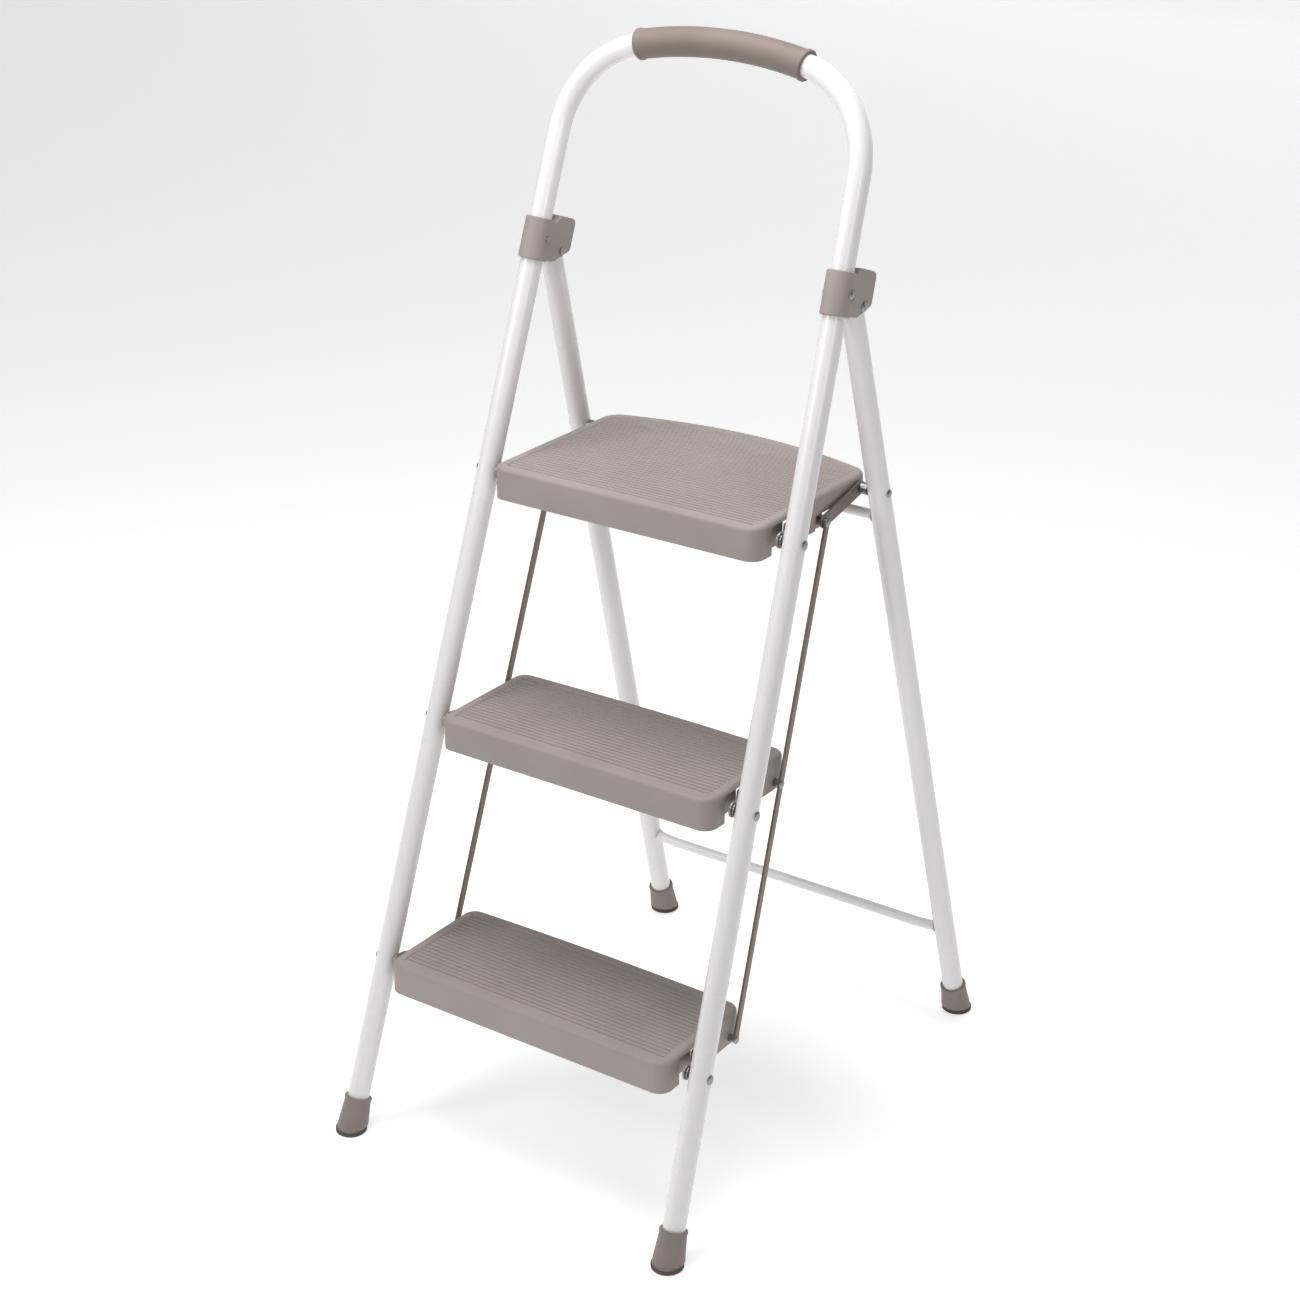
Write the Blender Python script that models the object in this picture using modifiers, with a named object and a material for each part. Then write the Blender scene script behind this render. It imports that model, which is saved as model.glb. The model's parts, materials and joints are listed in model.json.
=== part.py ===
"""Folding three-step stool with a handrail.

One bent steel tube makes both front rails and the handrail loop over them. Two tube legs hang
behind it from moulded hinge brackets. Three moulded treads turn on rivets through the rails, and
flat bars join them, so that lifting the platform folds the treads and the legs together.

+Z is up, the treads are climbed from -Y, and the origin is on the floor at the middle of the base.
Lengths are in metres.
"""

import math

import bmesh
import bpy
from mathutils import Matrix, Vector

# The tube and the fits between pieces.
TUBE_RADIUS = 0.0111
TUBE_WALL = 0.0012
TUBE_SIDES = 20
CLEARANCE = 0.0003

# The two frames. A height on a rail is a height above the floor.
LEAN = math.radians(19.24)
SPLAY = 0.0293
HALF_WIDTH = 0.1972
BASE_DEPTH = 0.565
HINGE_ABOVE_PLATFORM = 0.2098
LOOP_ABOVE_PLATFORM = 0.4115
LOOP_CORNER_RADIUS = 0.095
LOOP_TOP_RADIUS = 0.450
LOOP_CORNER_STEPS = 8
LOOP_TOP_STEPS = 6
GRIP_WALL = 0.0027

# The treads: their tops rise evenly from the lowest.
LOWEST_TREAD = 0.192
TREAD_RISE = 0.240
TREAD_NAMES = ("bottom", "middle", "platform")
STEP_DEPTH = 0.135
PLATFORM_DEPTH = 0.199
PLATFORM_BOW = 0.027
STEP_BOW = 0.003
NOSE = 0.027
PIVOT_DROP = 0.0155
SKIRT = 0.033
SHORT_SKIRT = 0.018
SKIRT_PIN_GAP = 0.010
TREAD_WALL = 0.0026
TREAD_CORNER = 0.014
TREAD_CORNER_STEPS = 4
TREAD_BOW_STEPS = 8
TREAD_EDGE = 0.005
TREAD_GAP = 0.0130
NOTCH_AHEAD = 0.0005
NOTCH_BEHIND = 0.031
NOTCH_TOP = 0.005
RIB_HEIGHT = 0.014
RIB_WALL = 0.002
RIB_COUNTS = (5, 3)
RIB_MARGIN = 0.006

# The flat bars, and where the tie rods are pinned behind and below a tread's pivot.
BRACKET_THICKNESS = 0.002
BRACKET_RADIUS = 0.008
EAR_GAP = 0.0026
JOG_START = 0.009
JOG_END = 0.026
STRAP_SCREW = 0.048
ROD_BACK = 0.086
ROD_DROP = 0.010
ROD_INSET = 0.0066
ROD_WIDTH = 0.0072
ROD_THICKNESS = 0.0026
STAY_WIDTH = 0.013
STAY_THICKNESS = 0.0025
STAY_INSET = 0.0097
STAY_RISE = 0.0045
SUPPORT_BAR_DROP = 0.029
SUPPORT_BAR_RADIUS = 0.005

# The rear cross bar, whose ends are bent up to the legs.
CROSS_BAR_HEIGHT = 0.112
CROSS_BAR_RADIUS = 0.0055
CROSS_BAR_LIFT = 0.007
CROSS_BAR_BEND = 0.028
SADDLE_REACH = 0.05

# The hinge brackets, in the rails' own directions.
SLEEVE_WALL = 0.0028
SLEEVE_BELOW = 0.0135
SLEEVE_ABOVE = 0.0277
HOUSING_ABOVE = 0.0335
HOUSING_WALL = 0.0025
HOUSING_CORNER = 0.006
CHAMFER_AHEAD = 0.009
CHAMFER_ABOVE = 0.002
HOUSING_EDGE = 0.0012
HINGE_GAP = 0.0015
REAR_WALL_START = 0.0045
BRACKET_RIVET_UP = 0.008

# The foot caps.
FOOT_WALL = 0.0018
FOOT_FLARE = 0.0027
FOOT_HEIGHT = 0.037
FOOT_SOLE = 0.005
FOOT_FLOOR = 0.008

# Rivets.
PIVOT_RADIUS = 0.003
PIN_RADIUS = 0.0024
HEAD_LIP = 0.002
WASHER_RADIUS = 0.006
SCREW_RADIUS = 0.0018
SCREW_HEAD = 0.0034
BOSS_RADIUS = 0.006
PIN_SLEEVE_RADIUS = 0.004
HEAD_HEIGHT = 0.0016
RIVET_SIDES = 12

# Worked out from the values above.
TOPS = [LOWEST_TREAD + TREAD_RISE * step for step in range(len(TREAD_NAMES))]
PIVOT_HEIGHTS = [top - PIVOT_DROP for top in TOPS]
PLATFORM_PIVOT = PIVOT_HEIGHTS[-1]
HINGE_HEIGHT = PLATFORM_PIVOT + HINGE_ABOVE_PLATFORM
RAIL_LENGTH = (PLATFORM_PIVOT + LOOP_ABOVE_PLATFORM) / math.cos(LEAN)
FRONT_Y = -BASE_DEPTH / 2
REAR_Y = BASE_DEPTH / 2
HINGE_OFFSET = 2 * TUBE_RADIUS + SLEEVE_WALL + HINGE_GAP
UP_RAIL = Vector((0, math.sin(LEAN), math.cos(LEAN)))
BEHIND_RAIL = Vector((0, math.cos(LEAN), -math.sin(LEAN)))
SIDES = (("left", -1), ("right", 1))
THROUGH_TUBE = TUBE_RADIUS * 1.3

WHITE = ("white_powder_coat", (0.86, 0.86, 0.85), 0.28, 0.0)
TAUPE = ("taupe_plastic", (0.33, 0.28, 0.26), 0.55, 0.0)
DARK_TAUPE = ("dark_taupe_plastic", (0.22, 0.185, 0.17), 0.6, 0.0)
BAR_STEEL = ("painted_bar_steel", (0.10, 0.085, 0.075), 0.4, 0.3)
RIVET_STEEL = ("zinc_rivet", (0.42, 0.42, 0.43), 0.35, 1.0)


def clear_scene():
    for old in list(bpy.data.objects):
        bpy.data.objects.remove(old)


def collection(name):
    made = bpy.data.collections.new(name)
    bpy.context.scene.collection.children.link(made)
    return made


def material(look):
    """The Principled material of one look: its name, colour, roughness and metallic value."""
    name, colour, roughness, metallic = look
    made = bpy.data.materials.get(name)
    if made is None:
        made = bpy.data.materials.new(name)
        made.use_nodes = True
        shader = made.node_tree.nodes["Principled BSDF"]
        shader.inputs["Base Color"].default_value = (*colour, 1)
        shader.inputs["Roughness"].default_value = roughness
        shader.inputs["Metallic"].default_value = metallic
        made.diffuse_color = (*colour, 1)
    return made


clear_scene()
PARTS = collection("folding_step_stool")
CUTTERS = collection("cutters")


def add(name, data, look):
    made = bpy.data.objects.new(name, data)
    PARTS.objects.link(made)
    data.materials.append(material(look))
    return made


def cutter(name, mesh):
    made = bpy.data.objects.new(name, mesh)
    made.hide_render = True
    made.display_type = "WIRE"
    CUTTERS.objects.link(made)
    return made


def mesh_of(name, shape):
    """The mesh of a bmesh, which is freed."""
    bmesh.ops.recalc_face_normals(shape, faces=shape.faces)
    made = bpy.data.meshes.new(name)
    shape.to_mesh(made)
    shape.free()
    return made


def smooth(piece):
    piece.data.shade_smooth()
    piece.data.set_sharp_from_angle(angle=math.radians(35))


def boolean(piece, operation, other):
    step = piece.modifiers.new(operation.lower(), "BOOLEAN")
    step.operation = operation
    step.object = other


def half_width(height):
    """From the centre plane to a rail's or a leg's axis at this height."""
    return HALF_WIDTH - SPLAY * height


def rail_point(side, height):
    return Vector((side * half_width(height), FRONT_Y + height * math.tan(LEAN), height))


def hinge_point(side):
    """The centre of a hinge pin, behind its rail."""
    return rail_point(side, HINGE_HEIGHT) + BEHIND_RAIL * HINGE_OFFSET


def leg_point(side, height):
    """A point on a rear leg's axis, on the straight line from its foot to its hinge."""
    hinge = hinge_point(side)
    share = height / hinge.z
    return Vector((side * half_width(height), REAR_Y + (hinge.y - REAR_Y) * share, height))


def rail_inside(height):
    """From the centre plane to the near face of a rail at this height."""
    return half_width(height) - TUBE_RADIUS


def pivot_point(level):
    """A tread's pivot, on the centre plane."""
    return Vector((0, rail_point(1, PIVOT_HEIGHTS[level]).y, PIVOT_HEIGHTS[level]))


def rod_point(level):
    """Where the tie rods are pinned to a tread, on the centre plane."""
    return pivot_point(level) + Vector((0, ROD_BACK, -ROD_DROP))


def stay_point():
    """Where the stays are pinned to the rear legs, on the centre plane."""
    height = PLATFORM_PIVOT + STAY_RISE
    return Vector((0, leg_point(1, height).y, height))


def tread_half(level):
    return rail_inside(PIVOT_HEIGHTS[level]) - TREAD_GAP


def rod_x(height):
    """From the centre plane to the middle of a tie rod."""
    return rail_inside(height) - ROD_INSET


def bore_radius(radius, sides):
    """The corner radius of a hole with flat sides that all clear a shaft of this radius."""
    return (radius + CLEARANCE) / math.cos(math.pi / sides)


def frame(origin, x_axis, y_axis, z_axis):
    """The matrix that places local axes along these directions."""
    columns = Matrix((x_axis, y_axis, z_axis)).transposed()
    return Matrix.Translation(origin) @ columns.to_4x4()


def along(origin, direction):
    """The matrix that turns local Z along a direction."""
    turn = Vector((0, 0, 1)).rotation_difference(direction)
    return Matrix.Translation(origin) @ turn.to_matrix().to_4x4()


def rod_tool(name, rods, sides=16):
    """A cutter of round rods, each given by its start, end and radius."""
    shape = bmesh.new()
    for start, end, radius in rods:
        step = end - start
        bmesh.ops.create_cone(
            shape,
            cap_ends=True,
            segments=sides,
            radius1=radius,
            radius2=radius,
            depth=step.length,
            matrix=along((start + end) / 2, step),
        )
    return cutter(name, mesh_of(name, shape))


def cross_holes(name, holes):
    """A cutter of holes along X, each given by its centre, half length and shaft radius."""
    sides = 16
    rods = []
    for centre, half, radius in holes:
        reach = Vector((half, 0, 0))
        rods.append((centre - reach, centre + reach, bore_radius(radius, sides)))
    return rod_tool(name, rods, sides)


def box_tool(name, boxes):
    """A cutter of boxes, each given by its lowest and highest corner."""
    shape = bmesh.new()
    for low, high in boxes:
        size = Vector(high) - Vector(low)
        place = Matrix.Translation((Vector(low) + Vector(high)) / 2)
        bmesh.ops.create_cube(shape, size=1, matrix=place @ Matrix.Diagonal((*size, 1)))
    return cutter(name, mesh_of(name, shape))


def prism(name, outline, thickness, edge=0):
    """The mesh of an outline in the local XY plane, as thick to both sides, with its rims rounded."""
    shape = bmesh.new()
    flat = shape.faces.new([shape.verts.new((x, y, -thickness / 2)) for x, y in outline])
    rims = list(flat.edges)
    grown = bmesh.ops.extrude_face_region(shape, geom=[flat])["geom"]
    far = [item for item in grown if isinstance(item, bmesh.types.BMVert)]
    bmesh.ops.translate(shape, verts=far, vec=(0, 0, thickness))
    if edge:
        rims += [item for item in grown if isinstance(item, bmesh.types.BMEdge)]
        bmesh.ops.bevel(shape, geom=rims, offset=edge, segments=2, profile=0.5, affect="EDGES")
    return mesh_of(name, shape)


def arc(centre, radius, start, end, steps):
    """Points on an arc in a plane, both ends included, with angles in radians."""
    points = []
    for step in range(steps + 1):
        angle = start + (end - start) * step / steps
        points.append((centre[0] + radius * math.cos(angle), centre[1] + radius * math.sin(angle)))
    return points


def corner_circle(side_x, fall, radius, top, top_radius):
    """A corner arc's centre and the half sweep of the large arc it runs into.

    The corner touches a side line, x = side_x - fall * y, and the inside of a large arc that is
    centred on x = 0 with its highest point at y = top.
    """
    inner = top_radius - radius
    top_centre = top - top_radius
    base = side_x - radius * math.hypot(1, fall)
    a = 1 + fall**2
    b = -2 * (fall * base + top_centre)
    c = base**2 + top_centre**2 - inner**2
    up = (-b + math.sqrt(b**2 - 4 * a * c)) / (2 * a)
    out = base - fall * up
    return (out, up), math.asin(out / inner)


def round_bar(name, points, radius, look, sides=TUBE_SIDES, caps=True):
    """A bar, or an open tube, along straight runs between points."""
    path = bpy.data.curves.new(name, "CURVE")
    path.dimensions = "3D"
    path.bevel_depth = radius
    path.bevel_resolution = (sides - 4) // 2
    path.use_fill_caps = caps
    spline = path.splines.new("POLY")
    spline.points.add(len(points) - 1)
    for place, point in zip(spline.points, points):
        place.co = (*point, 1)
    return add(name, path, look)


def as_mesh(curve_piece):
    """Replaces a curve object with a mesh object of the same name, place and material."""
    bpy.context.view_layer.update()
    graph = bpy.context.evaluated_depsgraph_get()
    data = bpy.data.meshes.new_from_object(curve_piece.evaluated_get(graph))
    shape = bmesh.new()
    shape.from_mesh(data)
    bmesh.ops.remove_doubles(shape, verts=shape.verts, dist=0.00001)
    bmesh.ops.recalc_face_normals(shape, faces=shape.faces)
    shape.to_mesh(data)
    shape.free()
    name = curve_piece.name
    place = curve_piece.matrix_world.copy()
    bpy.data.objects.remove(curve_piece)
    made = bpy.data.objects.new(name, data)
    made.matrix_world = place
    PARTS.objects.link(made)
    return made


def hollow(piece, wall):
    step = piece.modifiers.new("wall", "SOLIDIFY")
    step.thickness = wall
    step.offset = -1
    step.use_even_offset = True


def flat_bar(name, length, width, thickness, shaft_places, look):
    """A bar with round ends along local X from the origin, drilled for pins at distances on it."""
    sides = 12
    path = bpy.data.curves.new(name, "CURVE")
    path.dimensions = "2D"
    path.fill_mode = "BOTH"
    path.extrude = thickness / 2
    far = arc((length, 0), width / 2, -math.pi / 2, math.pi / 2, 6)
    near = arc((0, 0), width / 2, math.pi / 2, 3 * math.pi / 2, 6)
    loops = [far + near]
    for distance in shaft_places:
        loops.append(arc((distance, 0), bore_radius(PIN_RADIUS, sides), 0, math.tau, sides)[:-1])
    for loop in loops:
        spline = path.splines.new("POLY")
        spline.points.add(len(loop) - 1)
        spline.use_cyclic_u = True
        for place, point in zip(spline.points, loop):
            place.co = (*point, 0, 1)
    return add(name, path, look)


def turned(name, profile, origin, direction, look, ring=False):
    """A turned piece. The profile's (radius, height) points run down its outside, top first."""
    data = bpy.data.meshes.new(name)
    points = [(radius, 0, height) for radius, height in profile]
    edges = [(index, index + 1) for index in range(len(points) - 1)]
    if ring:
        edges.append((len(points) - 1, 0))
    data.from_pydata(points, edges, [])
    piece = add(name, data, look)
    piece.matrix_world = along(origin, direction)
    screw = piece.modifiers.new("turn", "SCREW")
    screw.steps = RIVET_SIDES
    screw.render_steps = RIVET_SIDES
    screw.use_merge_vertices = True
    screw.merge_threshold = 0.00001
    screw.use_smooth_shade = True
    return piece


def dome(head, shaft):
    """The profile of a domed head that clears the face it sits on, down to its shaft."""
    return [
        (0, HEAD_HEIGHT),
        (head * 0.55, HEAD_HEIGHT * 0.85),
        (head * 0.9, HEAD_HEIGHT * 0.5),
        (head, CLEARANCE),
        (shaft, CLEARANCE),
    ]


def rivet(name, outer, inner, shaft, head, shoulders=()):
    """A rivet between the outer faces of what it holds. Each shoulder is a thicker stretch, given
    by its radius and its two distances from the outer face."""
    length = (outer - inner).length
    profile = dome(head, shaft)
    for radius, first, last in shoulders:
        profile += [(shaft, -first), (radius, -first), (radius, -last), (shaft, -last)]
    tail = head * 0.8
    profile += [
        (shaft, -length - CLEARANCE),
        (tail, -length - CLEARANCE),
        (tail, -length - HEAD_HEIGHT * 0.7),
        (0, -length - HEAD_HEIGHT * 0.7),
    ]
    return turned(name, profile, outer, outer - inner, RIVET_STEEL)


def stud(name, seat, outward, length, shaft, head):
    """A domed head over its seat and a plain shank behind it."""
    profile = dome(head, shaft) + [(shaft, -length), (0, -length)]
    return turned(name, profile, seat, outward, RIVET_STEEL)


def hang_on(empty_name, point, pieces):
    """Parents pieces to an empty on their joint's axis, leaving them where they are."""
    axis = bpy.data.objects.new(empty_name, None)
    axis.location = point
    axis.empty_display_size = 0.03
    PARTS.objects.link(axis)
    bpy.context.view_layer.update()
    for piece in pieces:
        piece.parent = axis
        piece.matrix_parent_inverse = axis.matrix_world.inverted()


def at_x(point, x):
    return Vector((x, point.y, point.z))


def tube_direction(point, side):
    """The unit direction up a rail or a leg, given the function of its points."""
    return (point(side, HINGE_HEIGHT) - point(side, 0)).normalized()


def tube_start(point, side):
    """Where a rail or a leg starts, inside its foot cap."""
    return point(side, FOOT_FLOOR)


def bracket_rivet_point(side):
    """On a rail's axis, where a rivet fixes the hinge bracket."""
    return rail_point(side, HINGE_HEIGHT + BRACKET_RIVET_UP * math.cos(LEAN))


def make_front_rail():
    """One tube up the left rail, round the loop and down the right rail, and the grip on its top."""
    fall = SPLAY * math.cos(LEAN)
    centre, sweep = corner_circle(HALF_WIDTH, fall, LOOP_CORNER_RADIUS, RAIL_LENGTH, LOOP_TOP_RADIUS)
    top_centre = (0, RAIL_LENGTH - LOOP_TOP_RADIUS)
    top = arc(top_centre, LOOP_TOP_RADIUS, math.pi / 2 - sweep, math.pi / 2 + sweep, LOOP_TOP_STEPS)
    start = FOOT_FLOOR / math.cos(LEAN)
    right = [(HALF_WIDTH - fall * start, start)]
    corner_end = math.pi / 2 - sweep
    right += arc(centre, LOOP_CORNER_RADIUS, math.atan(fall), corner_end, LOOP_CORNER_STEPS)
    left = [(-x, up) for x, up in reversed(right)]
    loop = [Vector((x, FRONT_Y, 0)) + UP_RAIL * up for x, up in right + top[1:-1] + left]
    rail = as_mesh(round_bar("front_rail", loop, TUBE_RADIUS, WHITE, caps=False))
    hollow(rail, TUBE_WALL)
    holes = []
    for _, side in SIDES:
        for height in PIVOT_HEIGHTS:
            holes.append((rail_point(side, height), THROUGH_TUBE, PIVOT_RADIUS))
        holes.append((bracket_rivet_point(side), THROUGH_TUBE, PIN_RADIUS))
    boolean(rail, "DIFFERENCE", cross_holes("front_rail_holes", holes))
    smooth(rail)
    held = [Vector((x, FRONT_Y, 0)) + UP_RAIL * up for x, up in top]
    radius = bore_radius(TUBE_RADIUS, TUBE_SIDES) + GRIP_WALL
    grip = as_mesh(round_bar("handle_grip", held, radius, DARK_TAUPE, caps=False))
    hollow(grip, GRIP_WALL)
    smooth(grip)


def make_foot(name, ground, axis):
    """A cap with a level sole and a rim square to its tube."""
    bore = bore_radius(TUBE_RADIUS, TUBE_SIDES)
    rim_radius = bore + FOOT_WALL
    base_radius = rim_radius + FOOT_FLARE
    shape = bmesh.new()
    bmesh.ops.create_cone(
        shape,
        cap_ends=True,
        segments=TUBE_SIDES,
        radius1=base_radius,
        radius2=base_radius,
        depth=FOOT_SOLE,
        matrix=Matrix.Translation((0, 0, FOOT_SOLE / 2)),
    )
    top = max(shape.faces, key=lambda face: face.calc_center_median().z)
    rim = bmesh.ops.extrude_discrete_faces(shape, faces=[top])["faces"][0]
    tilt = along((0, 0, 0), axis)
    for vert in rim.verts:
        level = Vector((vert.co.x, vert.co.y, 0)) * rim_radius / base_radius
        vert.co = tilt @ level + axis * FOOT_HEIGHT
    bmesh.ops.translate(shape, verts=shape.verts, vec=ground)
    foot = add(name, mesh_of(name, shape), DARK_TAUPE)
    start = ground + axis * (FOOT_FLOOR / axis.z - CLEARANCE)
    end = ground + axis * FOOT_HEIGHT * 2
    boolean(foot, "DIFFERENCE", rod_tool(name + "_bore", [(start, end, bore)], TUBE_SIDES))
    smooth(foot)
    return foot


def bracket_frame(side, up):
    """Local axes on a hinge pin: behind the tube, up it and across it."""
    across = Vector((1, 0, 0))
    behind = up.cross(across).normalized()
    return frame(hinge_point(side), behind, up, behind.cross(up))


def make_hinge_bracket(name, side):
    """A sleeve on the rail with a box behind it, which is open below and behind for the leg."""
    place = bracket_frame(side, tube_direction(rail_point, side))
    half = TUBE_RADIUS + CLEARANCE + SLEEVE_WALL
    slot = TUBE_RADIUS + 2 * CLEARANCE
    back = slot + HOUSING_WALL
    corner = HOUSING_CORNER
    outline = [
        (-HINGE_OFFSET, -SLEEVE_BELOW),
        (-CHAMFER_AHEAD, -SLEEVE_BELOW),
        (back, CHAMFER_ABOVE),
        *arc((back - corner, HOUSING_ABOVE - corner), corner, 0, math.pi / 2, 4),
        (-slot, HOUSING_ABOVE),
        (-slot - corner, SLEEVE_ABOVE),
        (-HINGE_OFFSET, SLEEVE_ABOVE),
    ]
    body = add(name, prism(name, outline, 2 * half, HOUSING_EDGE), TAUPE)
    body.matrix_world = place
    low = place @ Vector((-HINGE_OFFSET, -SLEEVE_BELOW, 0))
    high = place @ Vector((-HINGE_OFFSET, SLEEVE_ABOVE, 0))
    boolean(body, "UNION", rod_tool(name + "_sleeve", [(low, high, half)], TUBE_SIDES))
    # The leg's rear face passes under the rear wall when the leg is out.
    far = SLEEVE_ABOVE + HOUSING_ABOVE
    under = REAR_WALL_START
    slot_outline = [
        (-slot, -far),
        (far, -far),
        (far, under),
        (slot, under),
        (slot, HOUSING_ABOVE - HOUSING_WALL),
        (-slot, HOUSING_ABOVE - HOUSING_WALL),
    ]
    space = cutter(name + "_slot", prism(name + "_slot", slot_outline, 2 * slot))
    space.matrix_world = place
    boolean(body, "DIFFERENCE", space)
    reach = tube_direction(rail_point, side) * far
    middle = rail_point(side, HINGE_HEIGHT)
    bore = rod_tool(
        name + "_bore",
        [(middle - reach, middle + reach, bore_radius(TUBE_RADIUS, TUBE_SIDES))],
        TUBE_SIDES,
    )
    boolean(body, "DIFFERENCE", bore)
    holes = [
        (hinge_point(side), 2 * half, PIVOT_RADIUS),
        (bracket_rivet_point(side), 2 * half, PIN_RADIUS),
    ]
    boolean(body, "DIFFERENCE", cross_holes(name + "_holes", holes))
    smooth(body)


def make_front_frame():
    make_front_rail()
    reach = TUBE_RADIUS + CLEARANCE + SLEEVE_WALL
    for word, side in SIDES:
        make_foot(f"front_foot_{word}", rail_point(side, 0), tube_direction(rail_point, side))
        make_hinge_bracket(f"hinge_bracket_{word}", side)
        for name, point, shaft in (
            ("hinge_rivet", hinge_point(side), PIVOT_RADIUS),
            ("bracket_rivet", bracket_rivet_point(side), PIN_RADIUS),
        ):
            outer = at_x(point, point.x + side * reach)
            inner = at_x(point, point.x - side * reach)
            rivet(f"{name}_{word}", outer, inner, shaft, shaft + HEAD_LIP)
        for level, tread in enumerate(TREAD_NAMES):
            make_pivot(f"{tread}_pivot", level, word, side)


def make_pivot(name, level, word, side):
    """The rivet a tread turns on, and the washer between the rail and the tread's bracket."""
    height = PIVOT_HEIGHTS[level]
    axis = pivot_point(level)
    ear = rail_inside(height) - EAR_GAP
    outer = at_x(axis, side * (half_width(height) + TUBE_RADIUS))
    inner = at_x(axis, side * (ear - BRACKET_THICKNESS))
    rivet(f"{name}_rivet_{word}", outer, inner, PIVOT_RADIUS, PIVOT_RADIUS + HEAD_LIP)
    bore = bore_radius(PIVOT_RADIUS, RIVET_SIDES)
    seat = rail_inside(height) - CLEARANCE - SPLAY * WASHER_RADIUS
    washer = [
        (WASHER_RADIUS, 0),
        (WASHER_RADIUS, ear + CLEARANCE - seat),
        (bore, ear + CLEARANCE - seat),
        (bore, 0),
    ]
    turned(f"{name}_washer_{word}", washer, at_x(axis, side * seat), (side, 0, 0), RIVET_STEEL, True)


def make_leg(name, side):
    """A tube whose top is rounded about the hinge pin."""
    up = tube_direction(leg_point, side)
    pin = hinge_point(side)
    ends = [tube_start(leg_point, side), pin + up * TUBE_RADIUS]
    leg = round_bar(name, ends, TUBE_RADIUS, WHITE, caps=False)
    leg = as_mesh(leg)
    hollow(leg, TUBE_WALL)
    end = arc((0, 0), TUBE_RADIUS, math.pi, 0, 10)
    outside = [(2 * TUBE_RADIUS, 0), (2 * TUBE_RADIUS, 2 * TUBE_RADIUS)]
    outside += [(-x, y) for x, y in reversed(outside)]
    rounding = cutter(name + "_end", prism(name + "_end", end + outside, 4 * TUBE_RADIUS))
    rounding.matrix_world = bracket_frame(side, up)
    boolean(leg, "DIFFERENCE", rounding)
    stay = at_x(stay_point(), leg_point(side, stay_point().z).x)
    holes = [(pin, THROUGH_TUBE, PIVOT_RADIUS), (stay, THROUGH_TUBE, PIN_RADIUS)]
    boolean(leg, "DIFFERENCE", cross_holes(name + "_holes", holes))
    smooth(leg)
    return leg


def make_cross_bar(name, points, radius):
    """A bar between the legs, whose ends are hollowed to fit round them."""
    bar = as_mesh(round_bar(name, points, radius, WHITE, sides=12))
    for word, side in SIDES:
        up = tube_direction(leg_point, side) * SADDLE_REACH
        middle = leg_point(side, points[0].z)
        saddle = rod_tool(
            f"{name}_saddle_{word}",
            [(middle - up, middle + up, bore_radius(TUBE_RADIUS, TUBE_SIDES))],
            TUBE_SIDES,
        )
        boolean(bar, "DIFFERENCE", saddle)
    smooth(bar)
    return bar


def make_rear_frame():
    pieces = []
    stay = stay_point()
    for word, side in SIDES:
        up = tube_direction(leg_point, side)
        pieces.append(make_foot(f"rear_foot_{word}", leg_point(side, 0), up))
        pieces.append(make_leg(f"rear_leg_{word}", side))
        # The rivet's inner end is the thick boss that the stay turns against.
        outer = leg_point(side, stay.z).x + side * TUBE_RADIUS
        leg_depth = 2 * TUBE_RADIUS + CLEARANCE
        boss_end = abs(outer) - stay_x() - STAY_THICKNESS / 2 - CLEARANCE
        profile = dome(PIN_RADIUS + HEAD_LIP, PIN_RADIUS) + [
            (PIN_RADIUS, -leg_depth),
            (BOSS_RADIUS, -leg_depth),
            (BOSS_RADIUS, -boss_end),
            (0, -boss_end),
        ]
        name = f"stay_boss_{word}"
        pieces.append(turned(name, profile, at_x(stay, outer), (side, 0, 0), RIVET_STEEL))
    support = stay.z - SUPPORT_BAR_DROP * tube_direction(leg_point, 1).z
    ends = [leg_point(-1, support), leg_point(1, support)]
    pieces.append(make_cross_bar("platform_support_bar", ends, SUPPORT_BAR_RADIUS))
    left = leg_point(-1, CROSS_BAR_HEIGHT + CROSS_BAR_LIFT)
    right = leg_point(1, CROSS_BAR_HEIGHT + CROSS_BAR_LIFT)
    bend = leg_point(1, CROSS_BAR_HEIGHT)
    inside = bend.x - CROSS_BAR_BEND
    points = [left, at_x(bend, -inside), at_x(bend, inside), right]
    pieces.append(make_cross_bar("rear_cross_bar", points, CROSS_BAR_RADIUS))
    hang_on("rear_frame_axis", at_x(hinge_point(1), 0), pieces)


def stay_x():
    """From the centre plane to the middle of a stay."""
    return rail_inside(PLATFORM_PIVOT) - STAY_INSET


def strap_frame(level, side):
    """Local axes on a tread's pivot: outwards, along the bracket to the tie rod pin, and up."""
    strap = (rod_point(level) - pivot_point(level)).normalized()
    return frame(pivot_point(level), (1, 0, 0), strap, Vector((1, 0, 0)).cross(strap))


def tread_outline(half, depth, bow):
    """A tread from above, with its front edge on y = 0 and its rear edge bowed out."""
    corner = TREAD_CORNER
    large = (half**2 + bow**2) / (2 * bow)
    centre, sweep = corner_circle(half, 0, corner, depth + bow, large)
    turn = math.pi / 2
    right = arc((half - corner, corner), corner, -turn, 0, TREAD_CORNER_STEPS)
    right += arc(centre, corner, 0, turn - sweep, TREAD_CORNER_STEPS)
    rear_centre = (0, depth + bow - large)
    rear = arc(rear_centre, large, turn - sweep, turn + sweep, TREAD_BOW_STEPS)
    return right + rear[1:-1] + [(-x, y) for x, y in reversed(right)]


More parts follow.
